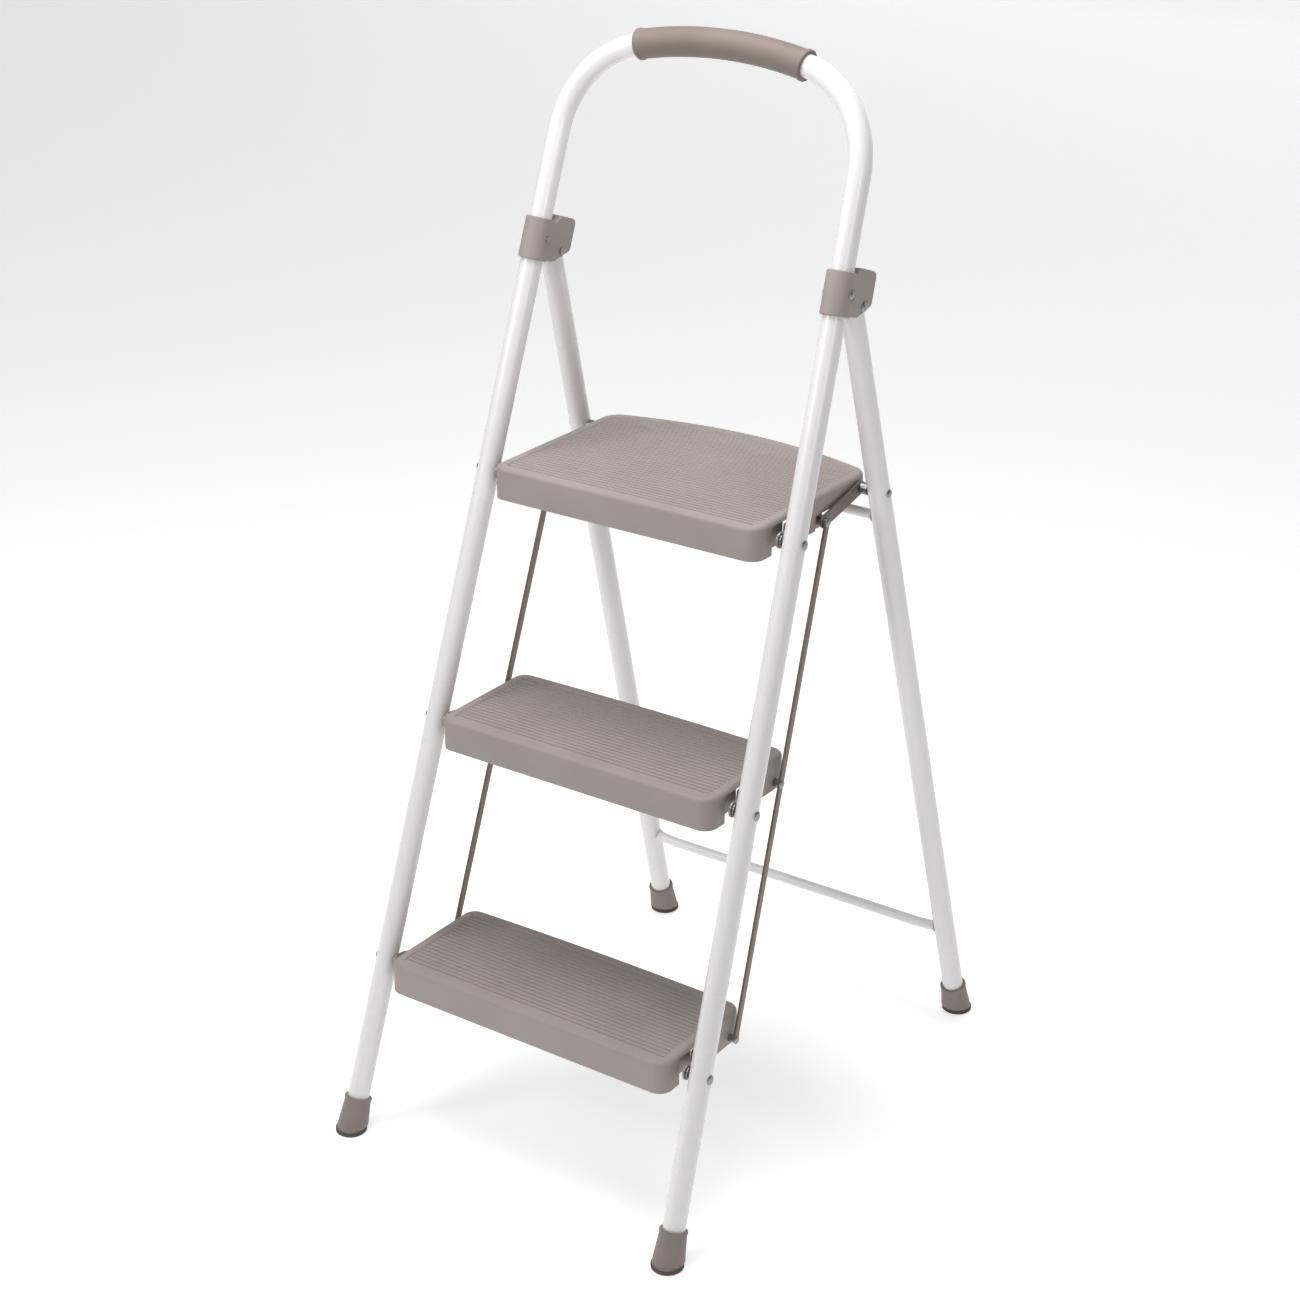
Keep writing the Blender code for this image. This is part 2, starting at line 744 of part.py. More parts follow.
def make_tread(level):
    """A moulded shell, open below, with ribs under its top."""
    name = f"{TREAD_NAMES[level]}_tread"
    platform = level == len(TREAD_NAMES) - 1
    depth, bow = (PLATFORM_DEPTH, PLATFORM_BOW) if platform else (STEP_DEPTH, STEP_BOW)
    half = tread_half(level)
    shape = bmesh.new()
    rim = [shape.verts.new((x, y, 0)) for x, y in tread_outline(half, depth, bow)]
    top = shape.faces.new(rim)
    top_edges = list(top.edges)
    skirt = bmesh.ops.extrude_edge_only(shape, edges=top_edges)["geom"]
    lower = [item for item in skirt if isinstance(item, bmesh.types.BMVert)]
    bmesh.ops.translate(shape, verts=lower, vec=(0, 0, -SKIRT))
    bmesh.ops.bevel(
        shape, geom=top_edges, offset=TREAD_EDGE, segments=3, profile=0.5, affect="EDGES"
    )
    tread = add(name, mesh_of(name, shape), TAUPE)
    pivot = pivot_point(level)
    front = pivot.y - NOSE
    tread.matrix_world = Matrix.Translation((0, front, TOPS[level]))
    hollow(tread, TREAD_WALL)
    add_ribs(tread, level, front, depth)
    below = TOPS[level] - 2 * SKIRT
    notch = (pivot.y - NOTCH_AHEAD, pivot.y + NOTCH_BEHIND)
    cuts = []
    for _, side in SIDES:
        across = sorted((side * (half - 2 * TREAD_WALL), side * (half + TREAD_WALL)))
        low = (across[0], notch[0], below)
        cuts.append((low, (across[1], notch[1], TOPS[level] - NOTCH_TOP)))
    if platform:
        low = (-2 * half, pivot.y + ROD_BACK - SKIRT_PIN_GAP, below)
        cuts.append((low, (2 * half, pivot.y + 2 * depth, TOPS[level] - SHORT_SKIRT)))
    boolean(tread, "DIFFERENCE", box_tool(name + "_openings", cuts))
    place = strap_frame(level, 1)
    holes = [(place @ Vector((0, STRAP_SCREW, 0)), 2 * half, SCREW_RADIUS)]
    if not platform:
        holes.append((rod_point(level), 2 * half, PIN_RADIUS))
    boolean(tread, "DIFFERENCE", cross_holes(name + "_holes", holes))
    smooth(tread)
    return tread


def add_ribs(tread, level, front, depth):
    """Two sets of ribs that cross under a tread's top, and a deep wall behind each side opening."""
    across, deep = RIB_COUNTS
    reach = tread_half(level) - TREAD_WALL - BRACKET_THICKNESS - RIB_MARGIN
    high = TOPS[level] - TREAD_WALL / 2
    low = TOPS[level] - RIB_HEIGHT
    rows = [front + depth * (row + 1) / (deep + 1) for row in range(deep)]
    columns = [reach * (2 * (column + 1) / (across + 1) - 1) for column in range(across)]
    half = RIB_WALL / 2
    long_ribs = [((-reach, y - half, low), (reach, y + half, high)) for y in rows]
    # The short ribs are a little less deep, so that no two faces of the ribs share a plane.
    step = CLEARANCE
    short_ribs = []
    for x in columns:
        short_ribs.append(((x - half, rows[0], low + step), (x + half, rows[-1], high - step)))
    walls = []
    for _, side in SIDES:
        near = (side * reach - half, front + TREAD_WALL / 2, TOPS[level] - SKIRT + step)
        rear = pivot_point(level).y + NOTCH_BEHIND + RIB_WALL
        walls.append((near, (side * reach + half, rear, high - 2 * step)))
    boolean(tread, "UNION", box_tool(tread.name + "_deep_walls", walls))
    boolean(tread, "UNION", box_tool(tread.name + "_long_ribs", long_ribs))
    boolean(tread, "UNION", box_tool(tread.name + "_short_ribs", short_ribs))


def make_tread_bracket(name, level, side):
    """A steel strap inside a tread's wall, cranked out to an ear on the pivot."""
    place = strap_frame(level, side)
    ear = rail_inside(PIVOT_HEIGHTS[level]) - EAR_GAP - BRACKET_THICKNESS / 2
    strap = tread_half(level) - TREAD_WALL - CLEARANCE - BRACKET_THICKNESS / 2
    length = (rod_point(level) - pivot_point(level)).length
    line = [
        (ear, -BRACKET_RADIUS),
        (ear, JOG_START),
        (strap, JOG_END),
        (strap, length + BRACKET_RADIUS),
    ]
    shape = bmesh.new()
    low = [shape.verts.new((side * x, y, -BRACKET_RADIUS)) for x, y in line]
    edges = [shape.edges.new(pair) for pair in zip(low, low[1:])]
    grown = bmesh.ops.extrude_edge_only(shape, edges=edges)["geom"]
    high = [item for item in grown if isinstance(item, bmesh.types.BMVert)]
    bmesh.ops.translate(shape, verts=high, vec=(0, 0, 2 * BRACKET_RADIUS))
    ends = [vert for vert in shape.verts if len(vert.link_faces) == 1]
    bmesh.ops.bevel(
        shape, geom=ends, offset=BRACKET_RADIUS * 0.9, segments=4, profile=0.5, affect="VERTICES"
    )
    bracket = add(name, mesh_of(name, shape), BAR_STEEL)
    bracket.matrix_world = place
    plate = bracket.modifiers.new("thickness", "SOLIDIFY")
    plate.thickness = BRACKET_THICKNESS
    plate.offset = 0
    plate.use_even_offset = True
    reach = 2 * TREAD_WALL
    holes = []
    for distance, x, radius in (
        (0, ear, PIVOT_RADIUS),
        (STRAP_SCREW, strap, SCREW_RADIUS),
        (length, strap, PIN_RADIUS),
    ):
        holes.append((place @ Vector((side * x, distance, 0)), reach, radius))
    boolean(bracket, "DIFFERENCE", cross_holes(name + "_holes", holes))
    smooth(bracket)
    return bracket


def make_treads():
    for level, word in enumerate(TREAD_NAMES):
        platform = level == len(TREAD_NAMES) - 1
        pieces = [make_tread(level)]
        wall = tread_half(level) - TREAD_WALL
        inner = wall - CLEARANCE - BRACKET_THICKNESS
        pin = rod_point(level)
        rod_face = rod_x(pin.z) + ROD_THICKNESS / 2
        rod_seat = ROD_THICKNESS + CLEARANCE
        for side_word, side in SIDES:
            pieces.append(make_tread_bracket(f"{word}_bracket_{side_word}", level, side))
            # The platform's pins stand behind its deep wall and carry the stays as well.
            if platform:
                stay_gap = STAY_THICKNESS / 2 + CLEARANCE
                shoulders = [
                    (PIN_SLEEVE_RADIUS, rod_seat, rod_face - stay_x() - stay_gap),
                    (PIN_SLEEVE_RADIUS, rod_face - stay_x() + stay_gap, rod_face - wall),
                ]
            else:
                end = rod_face - tread_half(level) - CLEARANCE
                shoulders = [(PIN_SLEEVE_RADIUS, rod_seat, end)]
            pieces.append(
                rivet(
                    f"{word}_rod_pin_{side_word}",
                    at_x(pin, side * rod_face),
                    at_x(pin, side * inner),
                    PIN_RADIUS,
                    PIN_RADIUS + HEAD_LIP,
                    shoulders,
                )
            )
            place = strap_frame(level, side)
            seat = place @ Vector((side * inner, STRAP_SCREW, 0))
            length = tread_half(level) - inner - CLEARANCE
            name = f"{word}_screw_{side_word}"
            pieces.append(stud(name, seat, (-side, 0, 0), length, SCREW_RADIUS, SCREW_HEAD))
        hang_on(f"{word}_axis", pivot_point(level), pieces)


def make_tie_rods():
    """Flat bars that keep the three treads parallel."""
    pieces = []
    low = rod_point(0)
    high = rod_point(len(TREAD_NAMES) - 1)
    for word, side in SIDES:
        start = at_x(low, side * rod_x(low.z))
        end = at_x(high, side * rod_x(high.z))
        length = (end - start).length
        places = [length * level / (len(TREAD_NAMES) - 1) for level in range(len(TREAD_NAMES))]
        rod = flat_bar(f"tie_rod_{word}", length, ROD_WIDTH, ROD_THICKNESS, places, BAR_STEEL)
        up = (end - start).normalized()
        across = Vector((0, 1, 0)).cross(up).normalized()
        rod.matrix_world = frame(start, up, across.cross(up), across)
        pieces.append(rod)
    hang_on("tie_rod_axis", high, pieces)


def make_stays():
    """Links from the platform's rod pins to the rear legs. Each ends in its half of the leg's rivet."""
    pieces = []
    start = rod_point(len(TREAD_NAMES) - 1)
    reach = stay_point() - start
    for word, side in SIDES:
        length = reach.length
        stay = flat_bar(f"stay_{word}", length, STAY_WIDTH, STAY_THICKNESS, [0, length], BAR_STEEL)
        ahead = reach.normalized()
        across = Vector((1, 0, 0))
        stay.matrix_world = frame(at_x(start, side * stay_x()), ahead, across.cross(ahead), across)
        pieces.append(stay)
        seat = at_x(stay_point(), side * (stay_x() - STAY_THICKNESS / 2))
        name = f"stay_rivet_{word}"
        head = stud(name, seat, (-side, 0, 0), STAY_THICKNESS, PIN_RADIUS, PIN_RADIUS + HEAD_LIP)
        pieces.append(head)
    hang_on("stay_axis", start, pieces)


make_front_frame()
make_rear_frame()
make_treads()
make_tie_rods()
make_stays()
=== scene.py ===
"""A folding three-tread step stool with a handrail, standing open on a studio floor."""

import json
import math

import bmesh
import bpy
from mathutils import Matrix, Vector


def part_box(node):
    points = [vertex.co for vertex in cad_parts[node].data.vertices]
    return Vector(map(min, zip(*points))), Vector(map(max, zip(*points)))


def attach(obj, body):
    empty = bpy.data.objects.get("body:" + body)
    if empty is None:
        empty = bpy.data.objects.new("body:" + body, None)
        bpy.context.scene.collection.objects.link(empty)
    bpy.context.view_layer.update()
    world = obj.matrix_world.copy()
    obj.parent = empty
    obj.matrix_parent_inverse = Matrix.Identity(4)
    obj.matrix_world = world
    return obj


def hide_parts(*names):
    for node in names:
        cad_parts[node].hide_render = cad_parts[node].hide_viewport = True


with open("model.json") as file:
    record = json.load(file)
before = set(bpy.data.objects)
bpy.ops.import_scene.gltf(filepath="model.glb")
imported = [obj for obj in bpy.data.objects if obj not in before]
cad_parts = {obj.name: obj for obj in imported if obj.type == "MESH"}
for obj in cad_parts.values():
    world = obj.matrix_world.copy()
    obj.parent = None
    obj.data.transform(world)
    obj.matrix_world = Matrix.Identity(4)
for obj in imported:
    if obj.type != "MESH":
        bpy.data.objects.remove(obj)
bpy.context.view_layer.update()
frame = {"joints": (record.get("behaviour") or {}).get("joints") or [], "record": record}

# ---------------------------------------------------------------- studio
# A white floor that sweeps up behind the stool, a large soft light overhead, softer ones on both
# sides, and a camera a little above the handrail to the climber's right.

FLOOR_WHITE = (0.9, 0.9, 0.905, 1)
FLOOR_GLOW = 0.5
FLOOR_HALF = 6
SWEEP_RADIUS = 1.5
SWEEP_STEPS = 16
AIM_YAW = math.radians(35.02)
AIM_PITCH = math.radians(-23.70)
CAMERA_PLACE = (1.3273, -1.9239, 1.5119)
LENS_MM = 71.14
SENSOR_MM = 36
AIR_LIGHT = 0.2


def area_light(name, place, aim, size, watts):
    data = bpy.data.lights.new(name, "AREA")
    data.shape = "SQUARE"
    data.size = size
    data.energy = watts
    light = bpy.data.objects.new(name, data)
    light.location = place
    light.rotation_euler = (Vector(place) - Vector(aim)).to_track_quat("Z", "Y").to_euler()
    bpy.context.scene.collection.objects.link(light)


def floor_sweep():
    """A flat floor whose far edge is spun up into a wall."""
    shape = bmesh.new()
    bmesh.ops.create_grid(shape, x_segments=1, y_segments=1, size=FLOOR_HALF)
    far = [edge for edge in shape.edges if all(vert.co.y > 0 for vert in edge.verts)]
    turn = bmesh.ops.spin(
        shape,
        geom=far + list(far[0].verts),
        cent=(0, FLOOR_HALF, SWEEP_RADIUS),
        axis=(1, 0, 0),
        angle=math.pi / 2,
        steps=SWEEP_STEPS,
    )
    top = [item for item in turn["geom_last"] if isinstance(item, bmesh.types.BMEdge)]
    wall = bmesh.ops.extrude_edge_only(shape, edges=top)["geom"]
    raised = [item for item in wall if isinstance(item, bmesh.types.BMVert)]
    bmesh.ops.translate(shape, verts=raised, vec=(0, 0, FLOOR_HALF))
    bmesh.ops.recalc_face_normals(shape, faces=shape.faces)
    mesh = bpy.data.meshes.new("studio_floor")
    shape.to_mesh(mesh)
    shape.free()
    mesh.shade_smooth()
    floor = bpy.data.objects.new("studio_floor", mesh)
    bpy.context.scene.collection.objects.link(floor)
    paper = bpy.data.materials.new("floor_paper")
    paper.use_nodes = True
    shader = paper.node_tree.nodes["Principled BSDF"]
    shader.inputs["Base Color"].default_value = FLOOR_WHITE
    shader.inputs["Roughness"].default_value = 0.7
    shader.inputs["Emission Color"].default_value = (1, 1, 1, 1)
    shader.inputs["Emission Strength"].default_value = FLOOR_GLOW
    mesh.materials.append(paper)


floor_sweep()
area_light("overhead_softbox", (-0.1, -0.2, 2.1), (0, 0, 0.5), 1.1, 25)
area_light("left_softbox", (-1.5, -2.4, 2.1), (0, 0, 0.75), 1.2, 27)
area_light("right_softbox", (2.3, -1.5, 1.5), (0, 0, 0.7), 0.9, 7)
world = bpy.data.worlds.new("studio_air")
world.use_nodes = True
world.node_tree.nodes["Background"].inputs["Color"].default_value = (1, 1, 1, 1)
world.node_tree.nodes["Background"].inputs["Strength"].default_value = AIR_LIGHT
bpy.context.scene.world = world
lens = bpy.data.cameras.new("studio_camera")
lens.lens = LENS_MM
lens.sensor_width = SENSOR_MM
camera = bpy.data.objects.new("studio_camera", lens)
camera.location = CAMERA_PLACE
camera.rotation_euler = (math.pi / 2 + AIM_PITCH, 0, AIM_YAW)
bpy.context.scene.collection.objects.link(camera)
bpy.context.scene.camera = camera
bpy.context.scene.view_settings.view_transform = "Standard"

# ---------------------------------------------------------------- front rail
# One length of 22 mm steel tube, bent twice over the top to make both rails and the handrail, then
# powder coated gloss white. It is drilled for the tread rivets and its ends sit in the foot caps.

TUBE = 0.0111
LOOP_CORNER = 0.095
LOOP_CROWN = 0.450
SPLAY = 0.0293
IN_CAP = 0.008
ROUND = 48
CORNER_STEPS = 24
CROWN_STEPS = 16
WELD_DISTANCE = 0.000005
SIDES = (("left", -1), ("right", 1))
LEVELS = ("bottom", "middle", "platform")

joint_place = {joint["name"]: Vector(joint["pos_m"]) for joint in frame["joints"]}
mount_place = {mount["name"]: Vector(mount["pos_m"]) for mount in frame["record"]["mounts"]}
hinge_axis = joint_place["rear_frame_fold"]
pivots = [joint_place[name] for name in ("bottom_step_fold", "middle_step_fold", "platform_fold")]
slope = (pivots[2].y - pivots[0].y) / (pivots[2].z - pivots[0].z)
lean = math.atan(slope)
up_rail = Vector((0, math.sin(lean), math.cos(lean)))
behind_rail = Vector((0, math.cos(lean), -math.sin(lean)))
X = Vector((1, 0, 0))


class Wire:
    """A socket whose arithmetic adds Math nodes."""

    def __init__(self, finish, socket):
        self.finish = finish
        self.socket = socket

    def maths(self, operation, first, second):
        made = self.finish.node("ShaderNodeMath", {"operation": operation}, {0: first, 1: second})
        return Wire(self.finish, made.outputs[0])

    def __add__(self, other):
        return self.maths("ADD", self, other)

    __radd__ = __add__

    def __sub__(self, other):
        return self.maths("SUBTRACT", self, other)

    def __rsub__(self, other):
        return self.maths("SUBTRACT", other, self)

    def __mul__(self, other):
        return self.maths("MULTIPLY", self, other)

    __rmul__ = __mul__

    def over(self, low, high):
        """0 below low, 1 above high, and smooth between them."""
        made = self.finish.node(
            "ShaderNodeMapRange",
            {"interpolation_type": "SMOOTHSTEP"},
            {"Value": self, "From Min": low, "From Max": high},
        )
        return Wire(self.finish, made.outputs["Result"])


class Finish:
    """A Principled material that is wired by expressions on its object's own coordinates."""

    def __init__(self, name, constants):
        self.material = bpy.data.materials.new(name)
        self.material.use_nodes = True
        self.tree = self.material.node_tree
        self.shader = self.tree.nodes["Principled BSDF"]
        for socket, value in constants.items():
            self.shader.inputs[socket].default_value = value
        self.place = Wire(self, self.node("ShaderNodeTexCoord").outputs["Object"])

    def node(self, kind, settings=None, sockets=None):
        made = self.tree.nodes.new(kind)
        for key, value in (settings or {}).items():
            setattr(made, key, value)
        for key, value in (sockets or {}).items():
            if isinstance(value, Wire):
                self.tree.links.new(value.socket, made.inputs[key])
            else:
                made.inputs[key].default_value = value
        return made

    def noise(self, scale, detail=2.0):
        """Noise from 0 to 1, with a number of features to the metre."""
        made = self.node(
            "ShaderNodeTexNoise", None, {"Vector": self.place, "Scale": scale, "Detail": detail}
        )
        return Wire(self, made.outputs["Fac"])

    def height(self):
        """How high a point stands above the floor, in metres."""
        parts = self.node("ShaderNodeSeparateXYZ", None, {"Vector": self.place})
        return Wire(self, parts.outputs["Z"])

    def mix(self, share, first, second):
        made = self.node("ShaderNodeMix", {"data_type": "RGBA"}, {"Factor": share})
        for slot, value in ((6, first), (7, second)):
            if isinstance(value, Wire):
                self.tree.links.new(value.socket, made.inputs[slot])
            else:
                made.inputs[slot].default_value = (*value, 1)
        return Wire(self, made.outputs[2])

    def wire(self, socket, value):
        self.tree.links.new(value.socket, self.shader.inputs[socket])

    def bump(self, height, depth, strength=1.0):
        made = self.node(
            "ShaderNodeBump", None, {"Height": height, "Distance": depth, "Strength": strength}
        )
        self.tree.links.new(made.outputs["Normal"], self.shader.inputs["Normal"])


def powder_coat():
    """Gloss white powder coat: orange peel, a few fine specks and a slightly uneven gloss."""
    coat = Finish("white_powder_coat", {"Coat Weight": 0.35, "Coat Roughness": 0.08, "IOR": 1.5})
    cloud = coat.noise(9)
    speck = coat.noise(900, 1).over(0.74, 0.78)
    white = coat.mix(cloud, (0.79, 0.775, 0.78), (0.74, 0.725, 0.73))
    coat.wire("Base Color", coat.mix(speck * 0.25, white, (0.55, 0.54, 0.52)))
    coat.wire("Roughness", 0.2 + cloud * 0.12)
    coat.bump(coat.noise(420, 3), 0.00012, 0.35)
    return coat.material


def rail_at(side, height):
    """The axis of a front rail at a height, from its sole up."""
    sole = mount_place["front_right_sole"]
    return Vector((side * (sole.x - SPLAY * height), sole.y + slope * height, height))


def leg_at(side, height):
    """The axis of a rear leg at a height, from its sole up to the hinge."""
    sole = mount_place["rear_right_sole"]
    share = height / hinge_axis.z
    return Vector(
        (side * (sole.x - SPLAY * height), sole.y + (hinge_axis.y - sole.y) * share, height)
    )


def facing(centre, direction, radius=1.0):
    """A matrix that puts a unit circle at a centre, square to a direction."""
    turn = Vector((0, 0, 1)).rotation_difference(direction)
    return Matrix.Translation(centre) @ turn.to_matrix().to_4x4() @ Matrix.Scale(radius, 4)


def new_parts(geometry, kind):
    """The points, edges or faces among the items that an operator returns."""
    return [item for item in geometry if isinstance(item, kind)]


def grow(shape, edges):
    """Extrudes a ring of edges in place and returns the new ring's points and edges."""
    geometry = bmesh.ops.extrude_edge_only(shape, edges=edges)["geom"]
    points = new_parts(geometry, bmesh.types.BMVert)
    fresh = set(points)
    ring = [e for e in new_parts(geometry, bmesh.types.BMEdge) if fresh.issuperset(e.verts)]
    return points, ring


def loft(shape, places, sides=ROUND):
    """Adds a closed form to a shape: a circle is extruded from each place to the next."""
    bmesh.ops.create_circle(shape, segments=sides, radius=1, matrix=places[0])
    shape.edges.ensure_lookup_table()
    ring = shape.edges[-sides:]
    first = ring
    for last, place in zip(places, places[1:]):
        points, ring = grow(shape, ring)
        bmesh.ops.transform(shape, matrix=place @ last.inverted(), verts=points)
    bmesh.ops.holes_fill(shape, edges=first + ring, sides=0)


def finished(name, shape, material, body, replaced, sharp=30):
    """Makes the named piece from a shape that is still being modelled."""
    bmesh.ops.remove_doubles(shape, verts=shape.verts, dist=WELD_DISTANCE)
    bmesh.ops.recalc_face_normals(shape, faces=shape.faces)
    mesh = bpy.data.meshes.new(name)
    shape.to_mesh(mesh)
    shape.free()
    return settled(name, mesh, material, body, replaced, sharp)


def settled(name, mesh, material, body, replaced, sharp=30):
    """Smooths a mesh but for its sharp edges and makes the named piece from it."""
    mesh.shade_smooth()
    mesh.set_sharp_from_angle(angle=math.radians(sharp))
    piece = bpy.data.objects.new(name, mesh)
    mesh.materials.clear()
    mesh.materials.append(material)
    bpy.context.scene.collection.objects.link(piece)
    weights = piece.modifiers.new("flat_faces_stay_flat", "WEIGHTED_NORMAL")
    weights.keep_sharp = True
    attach(piece, body)
    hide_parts(*replaced)
    return piece


def corner_of_loop():
    """The corner bend's centre, across and up the rail, the crown's half sweep and the rail's
    slant. The corner's arc touches both the straight rail and the crown's arc."""
    fall = SPLAY * math.cos(lean)
    inner = LOOP_CROWN - LOOP_CORNER
    crown_centre = loop_length - LOOP_CROWN
    base = mount_place["front_right_sole"].x - LOOP_CORNER * math.hypot(1, fall)
    a = 1 + fall**2
    b = -2 * (fall * base + crown_centre)
    c = base**2 + crown_centre**2 - inner**2
    up = (-b + math.sqrt(b**2 - 4 * a * c)) / (2 * a)
    out = base - fall * up
    return out, up, math.asin(out / inner), math.atan(fall)


loop_length = (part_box("front_rail")[1].z - TUBE) / math.cos(lean)
corner_x, corner_up, crown_sweep, rail_slant = corner_of_loop()
front_y = mount_place["front_right_sole"].y


def in_rails(x, up):
    """A point in the plane of the rails."""
    return Vector((x, front_y, 0)) + up_rail * up


def front_rail():
    """The tube starts as a circle in the right cap and is extruded up, spun round three bends and
    extruded down to the left cap."""
    shape = bmesh.new()
    start = rail_at(1, IN_CAP)
    along = (rail_at(1, 1) - rail_at(1, 0)).normalized()
    bmesh.ops.create_circle(shape, segments=ROUND, radius=TUBE, matrix=facing(start, along))
    first = list(shape.edges)
    reach = corner_up + LOOP_CORNER * math.sin(rail_slant)
    bend = in_rails(corner_x + LOOP_CORNER * math.cos(rail_slant), reach)
    corner_sweep = math.pi / 2 - crown_sweep - rail_slant
    points, ring = grow(shape, first)
    bmesh.ops.translate(shape, verts=points, vec=bend - start)
    bends = (
        (in_rails(corner_x, corner_up), corner_sweep, CORNER_STEPS),
        (in_rails(0, loop_length - LOOP_CROWN), 2 * crown_sweep, CROWN_STEPS),
        (in_rails(-corner_x, corner_up), corner_sweep, CORNER_STEPS),
    )
    for centre, angle, steps in bends:
        turn = bmesh.ops.spin(
            shape, geom=points + ring, cent=centre, axis=-behind_rail, angle=angle, steps=steps
        )
        points = new_parts(turn["geom_last"], bmesh.types.BMVert)
        ring = new_parts(turn["geom_last"], bmesh.types.BMEdge)
    points, ring = grow(shape, ring)
    bmesh.ops.translate(shape, verts=points, vec=rail_at(-1, IN_CAP) - in_rails(-bend.x, reach))
    bmesh.ops.holes_fill(shape, edges=first + ring, sides=0)
    finished("front_rail_tube", shape, white_coat, "front_frame", ["front_rail"])


white_coat = powder_coat()
front_rail()

# ---------------------------------------------------------------- handle grip
# A soft ribbed plastic sleeve pushed on to the crown of the loop, with a bead round each end.

GRIP = 0.0142
GRIP_BEAD = 0.0151
GRIP_BEAD_LENGTH = 0.0042
GRIP_BEAD_ROUND = 0.0006
GRIP_STEPS = 44


def soft_plastic(name, dark, light, grain=1500, rough=0.5):
    """Taupe moulded plastic: a fine spark-eroded grain, faint flow clouds and scuffed gloss."""
    plastic = Finish(name, {"IOR": 1.46})
    cloud = plastic.noise(14, 3)
    grains = plastic.noise(grain, 2)
    tone = cloud * 0.7 + grains * 0.3
    plastic.wire("Base Color", plastic.mix(tone.over(0.2, 0.8), dark, light))
    plastic.wire("Roughness", rough + cloud * 0.14 - grains * 0.08)
    plastic.bump(grains, 0.00012, 0.5)
    return plastic.material


def handle_grip():
    shape = bmesh.new()
    centre = in_rails(0, loop_length - LOOP_CROWN)
    bead = GRIP_BEAD_LENGTH / LOOP_CROWN
    stations = [(-crown_sweep, TUBE), (-crown_sweep, GRIP_BEAD - GRIP_BEAD_ROUND)]
    stations += [(-crown_sweep + bead * 0.2, GRIP_BEAD), (-crown_sweep + bead * 0.8, GRIP_BEAD)]
    stations += [(-crown_sweep + bead, GRIP)]
    inner = crown_sweep - bead
    stations += [(inner * (2 * step / GRIP_STEPS - 1), GRIP) for step in range(1, GRIP_STEPS)]
    stations += [(-angle, radius) for angle, radius in reversed(stations[:5])]
    places = []
    for angle, radius in stations:
        out = up_rail * math.cos(angle) + X * math.sin(-angle)
        heading = up_rail * math.sin(-angle) - X * math.cos(angle)
        places.append(facing(centre + out * LOOP_CROWN, -heading, radius))
    loft(shape, places)
    finished(
        "grip_sleeve", shape, grip_plastic, "front_frame", ["handle_grip"], 50
    )


grip_plastic = soft_plastic("grip_plastic", (0.175, 0.135, 0.12), (0.235, 0.185, 0.165), 900, 0.55)
handle_grip()

# ---------------------------------------------------------------- foot caps
# Four tapered caps pushed on to the tube ends. Each has a rounded lip at its rim, a level sole and
# a darker non-slip band round the sole.

CAP_SOLE = 0.0052
CAP_SHAPE = ((0.0, 0.0148), (0.03, 0.0160), (0.13, 0.01605), (0.14, 0.0155), (0.17, 0.0155))
CAP_TAPER = ((0.18, 0.01595), (0.5, 0.01475), (0.9, 0.01345), (0.94, 0.0140), (0.98, 0.0140))
CAP_LIP = ((1.0, 0.0136), (1.0, 0.0116))
CAP_HEIGHT = 0.037
CAP_UPRIGHT = 0.17
CAP_BAND_BLUR = 0.0004


def foot_cap(name, ground, along, body, replaced):
    """A cap whose rings lie level at the sole and turn square to the tube above it."""
    shape = bmesh.new()
    places = []
    for share, radius in CAP_SHAPE + CAP_TAPER + CAP_LIP:
        tilt = max(0, (share - CAP_UPRIGHT) / (1 - CAP_UPRIGHT))
        direction = Vector((0, 0, 1)).lerp(along, tilt).normalized()
        places.append(facing(ground + along * CAP_HEIGHT * share, direction, radius))
    for place in places:
        if place.translation.z < CAP_SOLE * 1.1:
            place.translation.x = ground.x
            place.translation.y = ground.y
    loft(shape, places)
    finished(name, shape, cap_plastic, body, [replaced], 40)


def cap_finish():
    """The grip's plastic, darker and scuffed below the sole's groove."""
    cap = Finish("cap_plastic", {"IOR": 1.46})
    grains = cap.noise(1400, 2)
    cloud = cap.noise(40, 3)
    sole = 1 - cap.height().over(CAP_SOLE - CAP_BAND_BLUR, CAP_SOLE + CAP_BAND_BLUR)
    wall = cap.mix(cloud, (0.20, 0.16, 0.145), (0.26, 0.215, 0.195))
    cap.wire("Base Color", cap.mix(sole, wall, (0.07, 0.055, 0.05)))
    cap.wire("Roughness", 0.48 + cloud * 0.12 + sole * 0.22)
    cap.bump(grains, 0.00012, 0.5)
    return cap.material


cap_plastic = cap_finish()
for word, side in SIDES:
    for place, point, body in (("front", rail_at, "front_frame"), ("rear", leg_at, "rear_frame")):
        along = (point(side, 0.5) - point(side, 0)).normalized()
        node = f"{place}_foot_{word}"
        foot_cap(f"{place}_cap_{word}", point(side, 0), along, body, node)

# ---------------------------------------------------------------- hinge brackets
# A moulded bracket on each rail: a sleeve round the tube and, behind it, a box that is open below
# for the rear leg. The leg hangs on a rivet through the box's cheeks.

